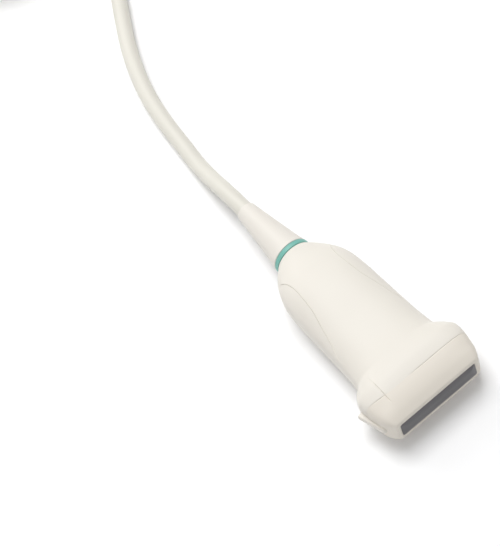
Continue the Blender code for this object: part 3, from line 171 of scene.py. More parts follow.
# %% Wind the coil
COIL_CENTRE = Vector((0.0205, 0.3083, 0.0))
OUTER, PITCH = 0.04045, 0.0079
INNER = OUTER - PITCH
STRAP_ROOM = 0.0015  # the ties pass under the coil
LAYERS = [STRAP_ROOM + PITCH * (n + 0.5) for n in range(4)]
BESIDE, ON_TABLE = OUTER + 0.00805, 0.0039
PLACES = [(BESIDE, ON_TABLE), (OUTER, LAYERS[0])]
PLACES += [(INNER, z) for z in LAYERS]
PLACES += [(OUTER, z) for z in LAYERS[:0:-1]]
MOVE_STARTS, MOVE_WIDTH = (115, 100, 70, 70, 70, 40, 10, 10), 110
LIFT_START, LIFT_WIDTH = 30, 100  # the first move leaves the table before it goes in
FIRST_ANGLE, LAST_ANGLE, ANGLE_STEP = -15, 2880, 3
SLACK_OUT, SLACK_UP = 0.00006, 0.00005  # how unevenly the turns lie
SLACK_RAMP, TIGHT_END = 200, 60


def ease(t):
    t = np.clip(t, 0.0, 1.0)
    return t * t * (3 - 2 * t)


def coil_section(turn_angle):
    """Radius and height of the lead's middle at an angle counted in degrees through all the turns."""
    radius, height = PLACES[0]
    for number, start in enumerate(MOVE_STARTS):
        (r0, z0), (r1, z1) = PLACES[number], PLACES[number + 1]
        share = ease((turn_angle - 360 * number - start) / MOVE_WIDTH)
        lift = ease((turn_angle - LIFT_START) / LIFT_WIDTH) if number == 0 else share
        radius += (r1 - r0) * share
        height += (z1 - z0) * lift
    to_end = LAST_ANGLE - TIGHT_END - turn_angle
    slack = ease((turn_angle - SLACK_RAMP) / SLACK_RAMP) * ease(to_end / SLACK_RAMP)
    radius += SLACK_OUT * slack * sin(radians(turn_angle * 2.3))
    height += SLACK_UP * slack * sin(radians(turn_angle * 3.1 + 40))
    return radius, height


def coil_point(turn_angle):
    radius, height = coil_section(turn_angle)
    a = radians(turn_angle)
    return COIL_CENTRE + Vector((radius * cos(a), radius * sin(a), height))


wound = [coil_point(a) for a in range(FIRST_ANGLE, LAST_ANGLE + 1, ANGLE_STEP)]
plug_x = COIL_CENTRE.x + OUTER
boot_low, boot_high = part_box("plug_strain_relief")
plug_z = (boot_low.z + boot_high.z) / 2
tail_points = [
    tuple(wound[-1]),
    (plug_x, COIL_CENTRE.y + 0.0110, LAYERS[1]),
    (plug_x, COIL_CENTRE.y + 0.0200, LAYERS[1] + 0.0008),
    (plug_x, boot_low.y, plug_z - 0.0001),
    (plug_x, boot_low.y + 0.0100, plug_z),
    (plug_x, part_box("plug_cable_clamp")[1].y, plug_z),
]
free = smooth_route([*on_axis, *free_points, tuple(wound[0]), tuple(wound[3])])
free = free[: min(range(len(free)), key=lambda i: (free[i] - wound[0]).length)]
tail = smooth_route(tail_points)
lead_line = [*free, *wound, *tail[1:]]

# %% Draw the lead
lead_curve = bpy.data.curves.new("lead", "CURVE")
lead_curve.dimensions = "3D"
strand = lead_curve.splines.new("POLY")
strand.points.add(len(lead_line) - 1)
for corner, p in zip(strand.points, lead_line):
    corner.co = (*p, 1.0)
    corner.radius = JACKET_RADIUS
strand.use_smooth = True
lead_curve.bevel_depth = 1.0
lead_curve.bevel_resolution = 7
lead_curve.use_fill_caps = True
lead = bpy.data.objects.new("lead", lead_curve)
scene.collection.objects.link(lead)
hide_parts("lead_run", "lead_coil", "lead_tail")
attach(lead, "root")
print("drawn with a radius of", JACKET_RADIUS * 1000, "mm")

# %% [markdown]
# ## Table and light
#
# A cut-out product photograph is lit from all round, with one large soft light that leads. The
# leading panel hangs high behind the probe and a little to the right, so that the shadow falls to
# the front. A wide panel from the left fills that side, and a low one far behind draws a rim of
# light along the shoulders. A pale sky and a white table throw light back under the probe.

# %% Helpers for materials


def give(socket, value):
    """A number or colour for a socket, or a link from another node's output."""
    if isinstance(value, bpy.types.NodeSocket):
        socket.id_data.links.new(value, socket)
    else:
        socket.default_value = value


def feed(node, **values):
    """Fills a node's inputs by name. An underscore stands for a space."""
    for key, value in values.items():
        give(node.inputs[key.replace("_", " ")], value)


def new_material(name, **fixed):
    """A material, its node tree and its shader, with numbers that are the same all over."""
    material = bpy.data.materials.new(name)
    material.use_nodes = True
    shader = material.node_tree.nodes["Principled BSDF"]
    feed(shader, **fixed)
    return material, material.node_tree, shader


WHITE = (1.0, 1.0, 1.0, 1.0)
print("helpers for materials")

# %% Table
FAR = 4.0
matt = {"Base_Color": (0.93, 0.93, 0.935, 1.0), "Roughness": 0.9, "Specular_IOR_Level": 0.0}
glow = {"Emission_Color": WHITE, "Emission_Strength": 0.04}
corners = [(-FAR, -FAR, 0), (FAR, -FAR, 0), (FAR, FAR, 0), (-FAR, FAR, 0)]
table_mesh = bpy.data.meshes.new("table")
table_mesh.from_pydata(corners, [], [(0, 1, 2, 3)])
table_mesh.materials.append(new_material("table_white", **matt, **glow)[0])
table = bpy.data.objects.new("table", table_mesh)
scene.collection.objects.link(table)
print("table is", table.dimensions.x, "m wide")

# %% Light
LIT_SPOT = Vector((0.0, 0.02, 0.0))  # where every panel points

world = bpy.data.worlds.new("studio")
scene.world = world
world.use_nodes = True
feed(world.node_tree.nodes["Background"], Color=WHITE, Strength=0.31)
scene.view_settings.view_transform = "Standard"


def soft_panel(name, spot, size, watts):
    """A square white panel light that faces the probe."""
    light = bpy.data.lights.new(name, "AREA")
    light.shape = "SQUARE"
    light.size = size
    light.energy = watts
    panel = bpy.data.objects.new(name, light)
    panel.location = spot
    panel.rotation_euler = (LIT_SPOT - Vector(spot)).to_track_quat("-Z", "Y").to_euler()
    scene.collection.objects.link(panel)


soft_panel("key_panel", (0.17, 0.46, 1.60), 0.95, 19.7)
soft_panel("front_panel", (-1.0, -0.4, 1.2), 1.4, 3.8)
soft_panel("back_panel", (-0.20, 1.56, 1.08), 1.0, 7.2)
print("sky and three panels")

# %% [markdown]
# ## Effects that several finishes share
#
# Real mouldings aren't one flat colour. A node group is a small machine with named knobs: it is
# built once and then placed in every finish that needs it, with other numbers on its knobs. The
# first group is the fine spark-eroded grain of a mould, the second the faint clouding and rubbed
# spots that come from years of hands and wipes, the third finds the edges that get rubbed.

# %% Helpers for nodes
FLOAT = "NodeSocketFloat"


def node_group(name, inputs, outputs):
    """An empty shader node group of numbers with their first values, and its two end nodes."""
    group = bpy.data.node_groups.new(name, "ShaderNodeTree")
    for socket, value in inputs.items():
        group.interface.new_socket(name=socket, in_out="INPUT", socket_type=FLOAT).default_value = value
    for socket in outputs:
        group.interface.new_socket(name=socket, in_out="OUTPUT", socket_type=FLOAT)
    return group, group.nodes.new("NodeGroupInput").outputs, group.nodes.new("NodeGroupOutput")


def place(tree, kind, **settings):
    """A new node. Settings in small letters are its properties, and the others fill its inputs."""
    node = tree.nodes.new(kind)
    for key, value in settings.items():
        if key.islower():
            setattr(node, key, value)
    feed(node, **{key: value for key, value in settings.items() if not key.islower()})
    return node


def effect(tree, group, **values):
    """A shared effect placed in a material, and what comes out of it."""
    return place(tree, "ShaderNodeGroup", node_tree=group, **values).outputs


def maths(tree, operation, *values):
    """The result of one Math node whose values may be numbers or other nodes' outputs."""
    node = tree.nodes.new("ShaderNodeMath")
    node.operation = operation
    for socket, value in zip(node.inputs, values):
        give(socket, value)
    return node.outputs[0]


def where(tree):
    """Places on the object itself, so that a pattern stays on the piece."""
    return tree.nodes.new("ShaderNodeTexCoord").outputs["Object"]


print("helpers for nodes")

# %% Mould grain
PITS_PER_RIPPLE, RIPPLE_HEIGHT = 1.7, 0.6

grain, knobs, ends = node_group("mould_grain", {"Cell": 2200.0}, ["Height", "Gloss"])
spots = where(grain)
ripple = place(grain, "ShaderNodeTexNoise", Vector=spots, Scale=knobs["Cell"], Detail=2.0, Roughness=0.5)
finer = maths(grain, "MULTIPLY", knobs["Cell"], PITS_PER_RIPPLE)
pits = place(grain, "ShaderNodeTexVoronoi", feature="SMOOTH_F1", Vector=spots, Scale=finer)
low = maths(grain, "MULTIPLY", ripple.outputs["Fac"], RIPPLE_HEIGHT)
gloss = maths(grain, "SUBTRACT", ripple.outputs["Fac"], 0.5)
feed(ends, Height=maths(grain, "ADD", low, pits.outputs["Distance"]), Gloss=gloss)
print("group", grain.name, "with", len(grain.nodes), "nodes")

# %% Clouding and rubbed spots
RUBS_PER_CLOUD, RUBBED_ABOVE, CLOUD_IN_GLOSS = 4.5, 0.66, 0.25
SMEARED = {"Detail": 4.0, "Roughness": 0.7, "Distortion": 0.6}

clouds, knobs, ends = node_group("clouding", {"Size": 45.0, "Strength": 0.03}, ["Tone", "Gloss", "Rub"])
spots = where(clouds)
broad = place(clouds, "ShaderNodeTexNoise", Vector=spots, Scale=knobs["Size"], Detail=3.0, Roughness=0.55)
finer = maths(clouds, "MULTIPLY", knobs["Size"], RUBS_PER_CLOUD)
rubs = place(clouds, "ShaderNodeTexNoise", Vector=spots, Scale=finer, **SMEARED)
centred = maths(clouds, "SUBTRACT", broad.outputs["Fac"], 0.5)
feed(
    ends,
    Tone=maths(clouds, "ADD", 1.0, maths(clouds, "MULTIPLY", centred, knobs["Strength"])),
    Gloss=maths(clouds, "MULTIPLY", centred, CLOUD_IN_GLOSS),
    Rub=maths(clouds, "GREATER_THAN", rubs.outputs["Fac"], RUBBED_ABOVE),
)
print("group", clouds.name, "with", len(clouds.nodes), "nodes")

# %% Rubbed edges
edges, knobs, ends = node_group("rubbed_edges", {"From": 0.52, "To": 0.60}, ["Mask"])
bend = edges.nodes.new("ShaderNodeNewGeometry").outputs["Pointiness"]
ramp = place(edges, "ShaderNodeMapRange", interpolation_type="SMOOTHSTEP", Value=bend)
feed(ramp, From_Min=knobs["From"], From_Max=knobs["To"])
feed(ends, Mask=ramp.outputs["Result"])
print("group", edges.name, "with", len(edges.nodes), "nodes")

# %% [markdown]
# ## Moulded plastics and rubbers
#
# All the soft-touch and hard mouldings are the same recipe with other numbers: a colour that drifts
# a little, a gloss that drifts with it, a grain that only shows in the highlight, and edges that
# are a shade lighter. Plain numbers such as the specular level go straight onto the shader.

# %% A moulded finish
RUB_DULLS, GRAIN_IN_GLOSS, GRAIN_HEIGHT = 0.05, 0.12, 0.0001


def tinted(tree, colour, value):
    """A colour whose lightness follows a value."""
    return place(tree, "ShaderNodeHueSaturation", Color=colour, Value=value).outputs["Color"]


def bumps(tree, height, strength, distance, **settings):
    """A normal that follows a height."""
    settings.update(Height=height, Strength=strength, Distance=distance)
    return place(tree, "ShaderNodeBump", **settings).outputs["Normal"]


def moulded(name, colour, roughness, cell=2200.0, depth=0.10, strength=0.05, size=45.0, edge=1.05, **fixed):
    """A moulded plastic or rubber with drift in colour and gloss, grain, and lighter edges."""
    material, tree, shader = new_material(name, **fixed)
    skin_grain = effect(tree, grain, Cell=cell)
    cloud = effect(tree, clouds, Size=size, Strength=strength)
    rim = maths(tree, "MULTIPLY", effect(tree, edges)["Mask"], edge - 1.0)
    tone = maths(tree, "MULTIPLY", cloud["Tone"], maths(tree, "ADD", 1.0, rim))
    dull = maths(tree, "MULTIPLY", cloud["Rub"], RUB_DULLS)
    fine = maths(tree, "MULTIPLY", skin_grain["Gloss"], GRAIN_IN_GLOSS)
    drift = maths(tree, "ADD", maths(tree, "ADD", cloud["Gloss"], fine), dull)
    feed(
        shader,
        Base_Color=tinted(tree, (*colour, 1.0), tone),
        Roughness=maths(tree, "ADD", roughness, drift),
        Normal=bumps(tree, skin_grain["Height"], depth, GRAIN_HEIGHT),
    )
    return material


satin = {"cell": 2600.0, "depth": 0.12, "Specular_IOR_Level": 0.28}
cable_skin = {"cell": 1300.0, "depth": 0.14, "size": 30.0, "strength": 0.08}
soft_rubber = {"cell": 3200.0, "size": 70.0, "strength": 0.12, "edge": 1.0}
coarse = {"cell": 1500.0, "depth": 0.2}
housing_cream = moulded("housing_cream", (0.768, 0.734, 0.670), 0.42, **satin)
nose_cream = moulded("nose_cream", (0.765, 0.717, 0.640), 0.42, **satin)
boot_cream = moulded("boot_cream", (0.77, 0.735, 0.675), 0.52, cell=1800.0, depth=0.16, edge=1.02)
jacket_cream = moulded("jacket_cream", (0.725, 0.705, 0.635), 0.46, **cable_skin)
ring_teal = moulded("ring_teal", (0.182, 0.468, 0.405), 0.42, cell=2600.0, edge=1.10)
lens_rubber = moulded("lens_rubber", (0.125, 0.122, 0.130), 0.46, **soft_rubber)
plug_cream = moulded("plug_cream", (0.78, 0.735, 0.665), 0.46, cell=1500.0, depth=0.22)
chassis_black = moulded("chassis_black", (0.035, 0.035, 0.040), 0.55, strength=0.3, edge=1.5, **coarse)
clamp_grey = moulded("clamp_grey", (0.20, 0.21, 0.22), 0.58, strength=0.2, edge=1.2, **coarse)
socket_ivory = moulded("socket_ivory", (0.68, 0.62, 0.48), 0.48, cell=2500.0, strength=0.1)
print("ten mouldings")

# %% [markdown]
# ## Metals, films and boards
#
# The parts inside never show while the housing is closed, but a designer may open it. Rolled and
# turned metal has fine lines, a bundle of coaxes is a row of round strands, and a film circuit is
# amber with copper lines. One group of parallel lines serves them all.

# %% Parallel lines
STRIPE_ABOVE = 0.55

lines, knobs, ends = node_group("fine_lines", {"Pitch": 0.0004, "Waver": 0.3}, ["Wave", "Mask"])
spots = where(lines)
across = place(lines, "ShaderNodeSeparateXYZ", Vector=spots).outputs["X"]
drift = place(lines, "ShaderNodeTexNoise", Vector=spots, Scale=90.0, Detail=2.0).outputs["Fac"]
steps = maths(lines, "DIVIDE", across, knobs["Pitch"])
wavy = maths(lines, "ADD", steps, maths(lines, "MULTIPLY", drift, knobs["Waver"]))
swing = maths(lines, "SINE", maths(lines, "MULTIPLY", wavy, tau))
wave = maths(lines, "ADD", 0.5, maths(lines, "MULTIPLY", swing, 0.5))
feed(ends, Wave=wave, Mask=maths(lines, "GREATER_THAN", wave, STRIPE_ABOVE))
print("group", lines.name, "with", len(lines.nodes), "nodes")

# %% Metal
LINE_IN_GLOSS, LINE_HEIGHT = 0.10, 0.00005


def metal(name, colour, roughness, pitch=0.00012):
    """Rolled or turned metal: fine lines in the gloss, and faint clouding."""
    material, tree, shader = new_material(name, Metallic=1.0)
    wave = effect(tree, lines, Pitch=pitch, Waver=6.0)["Wave"]
    cloud = effect(tree, clouds, Size=120.0, Strength=0.16)
    drift = maths(tree, "ADD", maths(tree, "MULTIPLY", wave, LINE_IN_GLOSS), cloud["Gloss"])
    feed(
        shader,
        Base_Color=tinted(tree, (*colour, 1.0), cloud["Tone"]),
        Roughness=maths(tree, "ADD", roughness, drift),
        Normal=bumps(tree, wave, 0.08, LINE_HEIGHT),
    )
    return material


aluminium = metal("aluminium", (0.74, 0.75, 0.77), 0.32)
tinned_steel = metal("tinned_steel", (0.66, 0.66, 0.64), 0.26, pitch=0.0002)
ferrule_brass = metal("ferrule_brass", (0.70, 0.50, 0.22), 0.26)
contact_gold = metal("contact_gold", (0.83, 0.60, 0.26), 0.20, pitch=0.00015)
print("four metals")

# %% Films, boards and bundles
MIX_FACTOR, MIX_A, MIX_B, MIX_RESULT = 0, 6, 7, 2  # by number, because sockets of a Mix share names
STRIPE_HEIGHT = 0.0002


def striped(name, ground, stripe, pitch, roughness, depth, waver=0.3, metallic=0.0):
    """Parallel stripes of a second colour that stand out a little."""
    material, tree, shader = new_material(name)
    row = effect(tree, lines, Pitch=pitch, Waver=waver)
    cloud = effect(tree, clouds, Size=160.0, Strength=0.1)
    paint = place(tree, "ShaderNodeMix", data_type="RGBA")
    for number, value in {MIX_FACTOR: row["Mask"], MIX_A: (*ground, 1.0), MIX_B: (*stripe, 1.0)}.items():
        give(paint.inputs[number], value)
    feed(
        shader,
        Base_Color=tinted(tree, paint.outputs[MIX_RESULT], cloud["Tone"]),
        Metallic=maths(tree, "MULTIPLY", row["Mask"], metallic),
        Roughness=maths(tree, "ADD", roughness, cloud["Gloss"]),
        Normal=bumps(tree, row["Wave"], depth, STRIPE_HEIGHT),
    )
    return material


amber, copper = (0.52, 0.23, 0.05), (0.70, 0.34, 0.12)
flex_polyimide = striped("flex_polyimide", amber, copper, 0.0006, 0.32, 0.1, metallic=0.6)
board_green = striped("board_green", (0.015, 0.13, 0.05), (0.03, 0.20, 0.08), 0.0009, 0.40, 0.15, waver=2.5)
ribbon_blue = striped("ribbon_blue", (0.07, 0.12, 0.28), (0.11, 0.19, 0.40), 0.0009, 0.48, 0.6)
matching_layer = moulded("matching_layer", (0.05, 0.05, 0.06), 0.55, cell=3000.0, strength=0.3)
piezo_ceramic = moulded("piezo_ceramic", (0.52, 0.40, 0.26), 0.62, cell=6000.0, depth=0.2, strength=0.15)
backing_epoxy = moulded("backing_epoxy", (0.15, 0.15, 0.16), 0.66, cell=5000.0, depth=0.4, strength=0.4)
print("six inner finishes")

# %% [markdown]
# The two ties around the coil are hook-and-loop straps. Their cloth side is a field of tiny loops: a Voronoi
# pattern gives the tufts, painted lighter on their tops and with painted shade between them, and a soft sheen
# on the shader gives the fuzz.

# %% Strap cloth
# Painted shade between the tufts: the colour runs from 1.15 on a tuft's top down to 0.65 in the hollows.
PAINTED_TUFT_SHADE = {"From_Min": 0.0, "From_Max": 0.7, "To_Min": 1.15, "To_Max": 0.65}
TUFT_HEIGHT = 0.0003

strap_cloth, tree, shader = new_material("strap_cloth", Roughness=0.85, Sheen_Weight=0.4, Sheen_Roughness=0.5)
tufts = place(tree, "ShaderNodeTexVoronoi", Vector=where(tree), Scale=1500.0, Randomness=0.8)
# Painted light and shade: each tuft is lighter at its top and darker towards the hollows between tufts.
painted_tuft_shade = place(tree, "ShaderNodeMapRange", Value=tufts.outputs["Distance"], **PAINTED_TUFT_SHADE)
worn = effect(tree, clouds, Size=90.0, Strength=0.3)["Tone"]
tone = maths(tree, "MULTIPLY", painted_tuft_shade.outputs["Result"], worn)
feed(
    shader,
    Base_Color=tinted(tree, (0.36, 0.37, 0.38, 1.0), tone),
    Normal=bumps(tree, tufts.outputs["Distance"], 0.7, TUFT_HEIGHT, invert=True),
)
print("strap cloth")

# %% [markdown]
# ## Drawing skins
#
# Every moulded piece here is a stack of rings, one behind the other along the probe. Rings that all
# have the same number of points join with quads and nothing else, which keeps the highlights calm.

# %% Skins from rings
SHARP_FROM = 38.0  # degrees between two faces that no longer shade as one round
CREASE_FROM = 2.5  # degrees, on the lines that are meant to be creases


def keep_crisp(mesh, marked):
    """Marks the mesh edges on the given lines sharp where the surface really turns there."""
    sides = {}
    for face in mesh.polygons:
        for key in face.edge_keys:
            sides.setdefault(key, []).append(face.normal)
    for edge in mesh.edges:
        if edge.key in marked or edge.key[::-1] in marked:
            near = sides[edge.key]
            if len(near) == 2 and near[0].angle(near[1]) > radians(CREASE_FROM):
                edge.use_edge_sharp = True


def skin(name, rings, material, caps="none", back_to_start=False, creases=()):
    """A mesh through rings of points. Caps are none, flat faces, or strips across a half ring."""
    rings = np.asarray(rings, float)
    count, around = rings.shape[:2]
    order = list(range(count)) + ([0] if back_to_start else [])
    faces = []
    for a, b in zip(order, order[1:]):
        for i in range(around):
            j = (i + 1) % around
            faces.append((a * around + i, a * around + j, b * around + j, b * around + i))
    for a in (0, count - 1):
        if caps == "flat":
            faces.append([a * around + i for i in range(around)])
        if caps == "strip":
            for i in range(around // 2 - 1):
                faces.append([a * around + k for k in (i, i + 1, around - 2 - i, around - 1 - i)])
    mesh = bpy.data.meshes.new(name)
    mesh.from_pydata(rings.reshape(-1, 3).tolist(), [], faces)
    fixer = bmesh.new()
    fixer.from_mesh(mesh)
    bmesh.ops.recalc_face_normals(fixer, faces=fixer.faces)
    fixer.to_mesh(mesh)
    fixer.free()
    mesh.shade_smooth()
    mesh.set_sharp_from_angle(angle=radians(SHARP_FROM))
    if creases:
        pairs = zip(order, order[1:])
        keep_crisp(mesh, {(a * around + i, b * around + i) for a, b in pairs for i in creases})
    mesh.materials.append(material)
    piece = bpy.data.objects.new(name, mesh)
    scene.collection.objects.link(piece)
    return piece


def stand_for(piece, *names):
    """The piece replaces CAD nodes and stays with the probe."""
    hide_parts(*names)
    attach(piece, "root")
    print(piece.name, len(piece.data.polygons), "faces")
    return piece


# %% Turned solids
SEGMENTS = 96


def turned(name, profile, material):
    """A ring-shaped solid turned about the lead from closed (distance, radius) points."""
    angles = np.arange(SEGMENTS) * tau / SEGMENTS
    rings = []
    for y, r in profile:
        level = np.full(SEGMENTS, PROBE.y + y)
        rings.append(np.stack([PROBE.x + r * np.cos(angles), level, PROBE.z + r * np.sin(angles)], 1))
    return skin(name, rings, material, back_to_start=True)


def rounding(radius, parts):
    """A quarter round as (depth, set-in) steps, from the front face to the side."""
    angles = np.linspace(0, pi / 2, parts)
    return [(radius * (1 - cos(a)), radius * (1 - sin(a))) for a in angles]


print("ready to draw")

# %% [markdown]
# ## The body's shape
#
# Seen from above the probe is a wide head with round shoulders, a neck, and a handle that swells
# for the palm and closes in to the lead. Each outline is a handful of knots with a smooth curve
# through them that never overshoots. A section is a rounded rectangle whose squareness also
# changes along the probe: nearly a box at the nose, a circle at the ring.

# %% Outlines through knots


def knotted(*knots):
    """A monotone cubic through knots of (distance behind the nose, value), level outside them."""
    xs, vs = np.array(knots, float).T
    steps = np.diff(xs)
    rises = np.diff(vs) / steps
    slopes = np.concatenate(([rises[0]], np.zeros(len(xs) - 2), [rises[-1]]))
    for i in range(1, len(xs) - 1):
        if rises[i - 1] * rises[i] > 0:
            a, b = 2 * steps[i] + steps[i - 1], steps[i] + 2 * steps[i - 1]
            slopes[i] = (a + b) / (a / rises[i - 1] + b / rises[i])

    def value(y):
        i = int(np.clip(np.searchsorted(xs, y) - 1, 0, len(steps) - 1))
        t, h = min(max((y - xs[i]) / steps[i], 0.0), 1.0), steps[i]
        start = vs[i] * (1 + 2 * t) * (1 - t) ** 2 + slopes[i] * h * t * (1 - t) ** 2
        return start + vs[i + 1] * t * t * (3 - 2 * t) + slopes[i + 1] * h * t * t * (t - 1)

    return value


SEAM, NECK, MOUTH = 0.0110, 0.0248, 0.0902
head_width = knotted(
    (0, 0.0208), (0.0030, 0.0229), (0.0057, 0.0240), (0.0170, 0.0255), (0.0209, 0.0240), (NECK, 0.0203)
)
handle_width = knotted(
    (NECK, 0.0203), (0.0330, 0.0195), (0.0450, 0.0190), (0.0600, 0.0187), (0.0680, 0.01835), (0.0735, 0.0178),
    (0.0817, 0.0151), (0.0870, 0.0117), (MOUTH, RING_RADIUS),
)
half_thickness = knotted(
    (0, 0.0064), (0.0040, 0.0088), (0.0080, 0.0102), (SEAM, 0.0109), (0.0140, 0.0115), (0.0170, 0.01185),
    (0.0205, 0.01175), (0.0330, 0.0105), (0.0450, 0.0107), (0.0600, 0.0117), (0.0680, 0.0120),
    (0.0750, 0.0115), (0.0817, 0.0104), (MOUTH, RING_RADIUS),
)
squareness = knotted(
    (0, 13.0), (0.0030, 7.0), (0.0065, 5.4), (SEAM, 5.6), (0.0170, 4.2), (0.0209, 3.0), (NECK, 2.7),
    (0.0330, 2.8), (0.0640, 2.6), (MOUTH, 2.0),
)
print("widest", round(head_width(0.0170) * 2000, 1), "mm, palm", round(handle_width(0.0640) * 2000, 1), "mm")

# %% [markdown]
# Two things break the smooth sections. A finger scallop on each side of the handle begins softly
# behind the neck, follows a crisp line that nears the axis at the heel, and hooks back out to the
# side in front of the ring. On the head a straight fold turns down the cheek that has the rib.
# Both follow one line of mesh, so the crease stays crisp however fine the mesh is.

# %% Scallops and folds
crease_line = knotted(
    (0, 0.0158), (0.0209, 0.0158), (0.0370, 0.0182), (0.0455, 0.0160), (0.0523, 0.0144), (0.0612, 0.0123),
    (0.0680, 0.0116), (0.0735, 0.0113), (0.0780, 0.0118), (0.0808, 0.0129), (0.0826, 0.0141), (MOUTH, 0.0070),
)
scallop_depth = knotted((0.0370, 0), (0.0505, 0.00063), (0.0640, 0.0009), (0.0780, 0.0009), (0.0824, 0))
scallop_groove = knotted(
    (0.0370, 0), (0.0395, 0.00026), (0.0455, 0.00044), (0.0600, 0.00034), (0.0720, 0.00034),
    (0.0770, 0.00048), (0.0816, 0.00046), (0.0828, 0),
)
fold_slope = knotted((0.0057, 0), (0.0095, 0.13), (0.0170, 0.13), (0.0209, 0))
fold_groove = knotted((0.0078, 0), (0.0092, 0.00036), (0.0170, 0.00030), (0.0222, 0))
CREASE_LIMIT = 0.96  # the crease stays within this share of the half width
LEDGE, LEDGE_WIDTH = 0.05, 0.015  # a tiny step at the scallop's edge, as shares of its depth and width
DISH, DISH_DOWN = 1.15, 0.6
print("lines for the scallops and the fold")

# %% [markdown]
# A quarter of a section is worked out on many fine steps first and then read at a fixed number of
# places. Those places crowd together beside the crease, where a groove hardly wider than a hair
# runs along it, and spread out evenly down the side.

# %% Sections
TOPS, SIDES = 24, 40
GROOVE_REACH, GROOVE_SHAPE = (0, 0.00010, 0.00018, 0.00030), (0, 1, 1, 0)
FOLD_REACH, FOLD_SHAPE = (*GROOVE_REACH, 0.0008, 0.0021, 0.0120), (0, 1, 1, 0.45, 0.35, 0.15, 0)
NEAR_CREASE, SPREAD_FROM = (*GROOVE_REACH, 0.00050, 0.00080), 0.0013
FINE_SHARES = np.concatenate([np.linspace(0, 0.06, 60), np.linspace(0.07, 1, 150)])
FINE_LEVELS = 160


def half_width(y):
    return head_width(y) if y < NECK else handle_width(y)


def quadrant(y, inset=0.0, ribbed=True):
    """The section's x and z from its top middle to a side. Only the ribbed side has the fold."""
    wide, thick, square = half_width(y) - inset, half_thickness(y) - inset, squareness(y)
    scoop, cut = scallop_depth(y), scallop_groove(y)
    slope, groove = (fold_slope(y), fold_groove(y)) if ribbed else (0.0, 0.0)
    crease = min(crease_line(y) - inset / 2, CREASE_LIMIT * wide)
    base = wide + scoop
    turn = np.arccos(max(0.0, 1 - (crease / base) ** square) ** 0.5)
    x_top = crease * np.arange(TOPS) / TOPS
    z_top = thick * (1 - (x_top / base) ** square) ** (1 / square)
    even = turn + (pi / 2 - turn) * FINE_SHARES
    heights = np.linspace(cos(turn) ** (2 / square), 0, FINE_LEVELS)
    level = np.arccos(np.clip(heights, 0, 1) ** (square / 2))
    angle = np.unique(np.round(np.concatenate([even, level]), 9))
    share = np.clip((angle - turn) / (pi / 2 - turn), 0, 1)
    ledge = np.minimum(1, share / LEDGE_WIDTH)
    sink = scoop * (ledge * LEDGE + (1 - LEDGE) * (1 - (1 - share) ** DISH))
    x = base * np.sin(angle) ** (2 / square)
    z = thick * np.clip(np.cos(angle), 0, None) ** (2 / square)
    far = np.concatenate(([0.0], np.cumsum(np.hypot(np.diff(x), np.diff(z)))))
    line = cut * np.interp(far, GROOVE_REACH, GROOVE_SHAPE)
    fall = slope * (x - crease) * (1 - share) + groove * np.interp(far, FOLD_REACH, FOLD_SHAPE)
    x = x - (sink + line) * np.sin(angle)
    z = np.clip(z - (DISH_DOWN * sink + line) * np.cos(angle) - fall, 0, None)
    z[-1] = 0.0
    spread = np.linspace(SPREAD_FROM, far[-1], SIDES + 1 - len(NEAR_CREASE))
    places = np.concatenate([NEAR_CREASE, spread])
    side_x, side_z = np.interp(places, far, x), np.interp(places, far, z)
    return np.concatenate([x_top, side_x]), np.concatenate([z_top, side_z])


def arch(y, inset=0.0):
    """The upper half of the section, from the right side over the top to the left side."""
    (plain_x, plain_z), (fold_x, fold_z) = quadrant(y, inset, False), quadrant(y, inset)
    x, z = np.concatenate([plain_x[::-1], -fold_x[1:]]), np.concatenate([plain_z[::-1], fold_z[1:]])
    return np.stack([x, np.full(len(x), y), z], 1)


def whole(y, inset=0.0):
    """The whole section as a closed ring."""
    over = arch(y, inset)
    return np.concatenate([over, over[-2:0:-1] * (1, 1, -1)])


print(len(whole(SEAM)), "points around a section")

# %% [markdown]
# ## Handle
#
# The handle is two half shells that meet on the mid plane, each with a wall of 1.8 mm. The seam to
# the nose cap is a hairline: its edge is rounded by about a seventh of a millimetre and the gap
# between the parts is a third of that at most, so it only shows where the light rakes across it.

# %% Hairline of the nose seam
EDGE = 0.00014
MID_ROUND = 0.3  # a round's middle lies this share of its radius in from both faces
GAP_TIGHT, GAP_OPEN = 0.000006, 0.000022  # each part's share of the gap
TIGHT_EDGE = 0.15  # this share of the rounding is left where the seam is tight
SWEEP = 0.0020  # how far back the seam runs at the head's ribbed side
LEAN_FROM, LEAN_OVER, LEAN_CURVE = 0.0135, 0.0115, 1.25
# Going left across the head the seam closes, opens again on the cheek, and narrows low down.
# Each change is a place and the width that it takes.
CLOSES, OPENS, NARROWS, NARROWED = (0.0010, 0.0050), (-0.0145, 0.0025), (-0.0200, 0.0030), 0.6


def passed(x, change):
    """How much of a change lies behind at x on the way left."""
    start, width = change
    return ease((start - x) / width)


def openness(x):
    """How open the nose seam is: fully at the right and on the ribbed cheek, and tight between."""
    tight = passed(x, CLOSES) * (1 - passed(x, OPENS))
    return (1 - tight) * (1 - NARROWED * passed(x, NARROWS))


def swept(y, share=1.0, inset=0.0):
    """A ring that leans back over the ribbed cheek, as the seam does."""
    plain, back_ring = whole(y, inset), whole(y + SWEEP * share, inset)
    lean = np.clip((-plain[:, 0] - LEAN_FROM) / LEAN_OVER, 0, 1) ** LEAN_CURVE
    return plain + (back_ring - plain) * lean[:, None]


def at_seam(y, inset, side):
    """A ring of the seam's rounded edge, at full size where the seam is open."""
    flush, tucked = swept(y), swept(y, 1.0, inset)
    wide_open = openness(flush[:, 0])
    share = TIGHT_EDGE + (1 - TIGHT_EDGE) * wide_open
    tucked[:, 1] += side * (GAP_TIGHT + (GAP_OPEN - GAP_TIGHT) * wide_open)
    return flush + (tucked - flush) * share[:, None]


print("gap at the right", round(2e6 * GAP_OPEN), "thousandths of a millimetre")

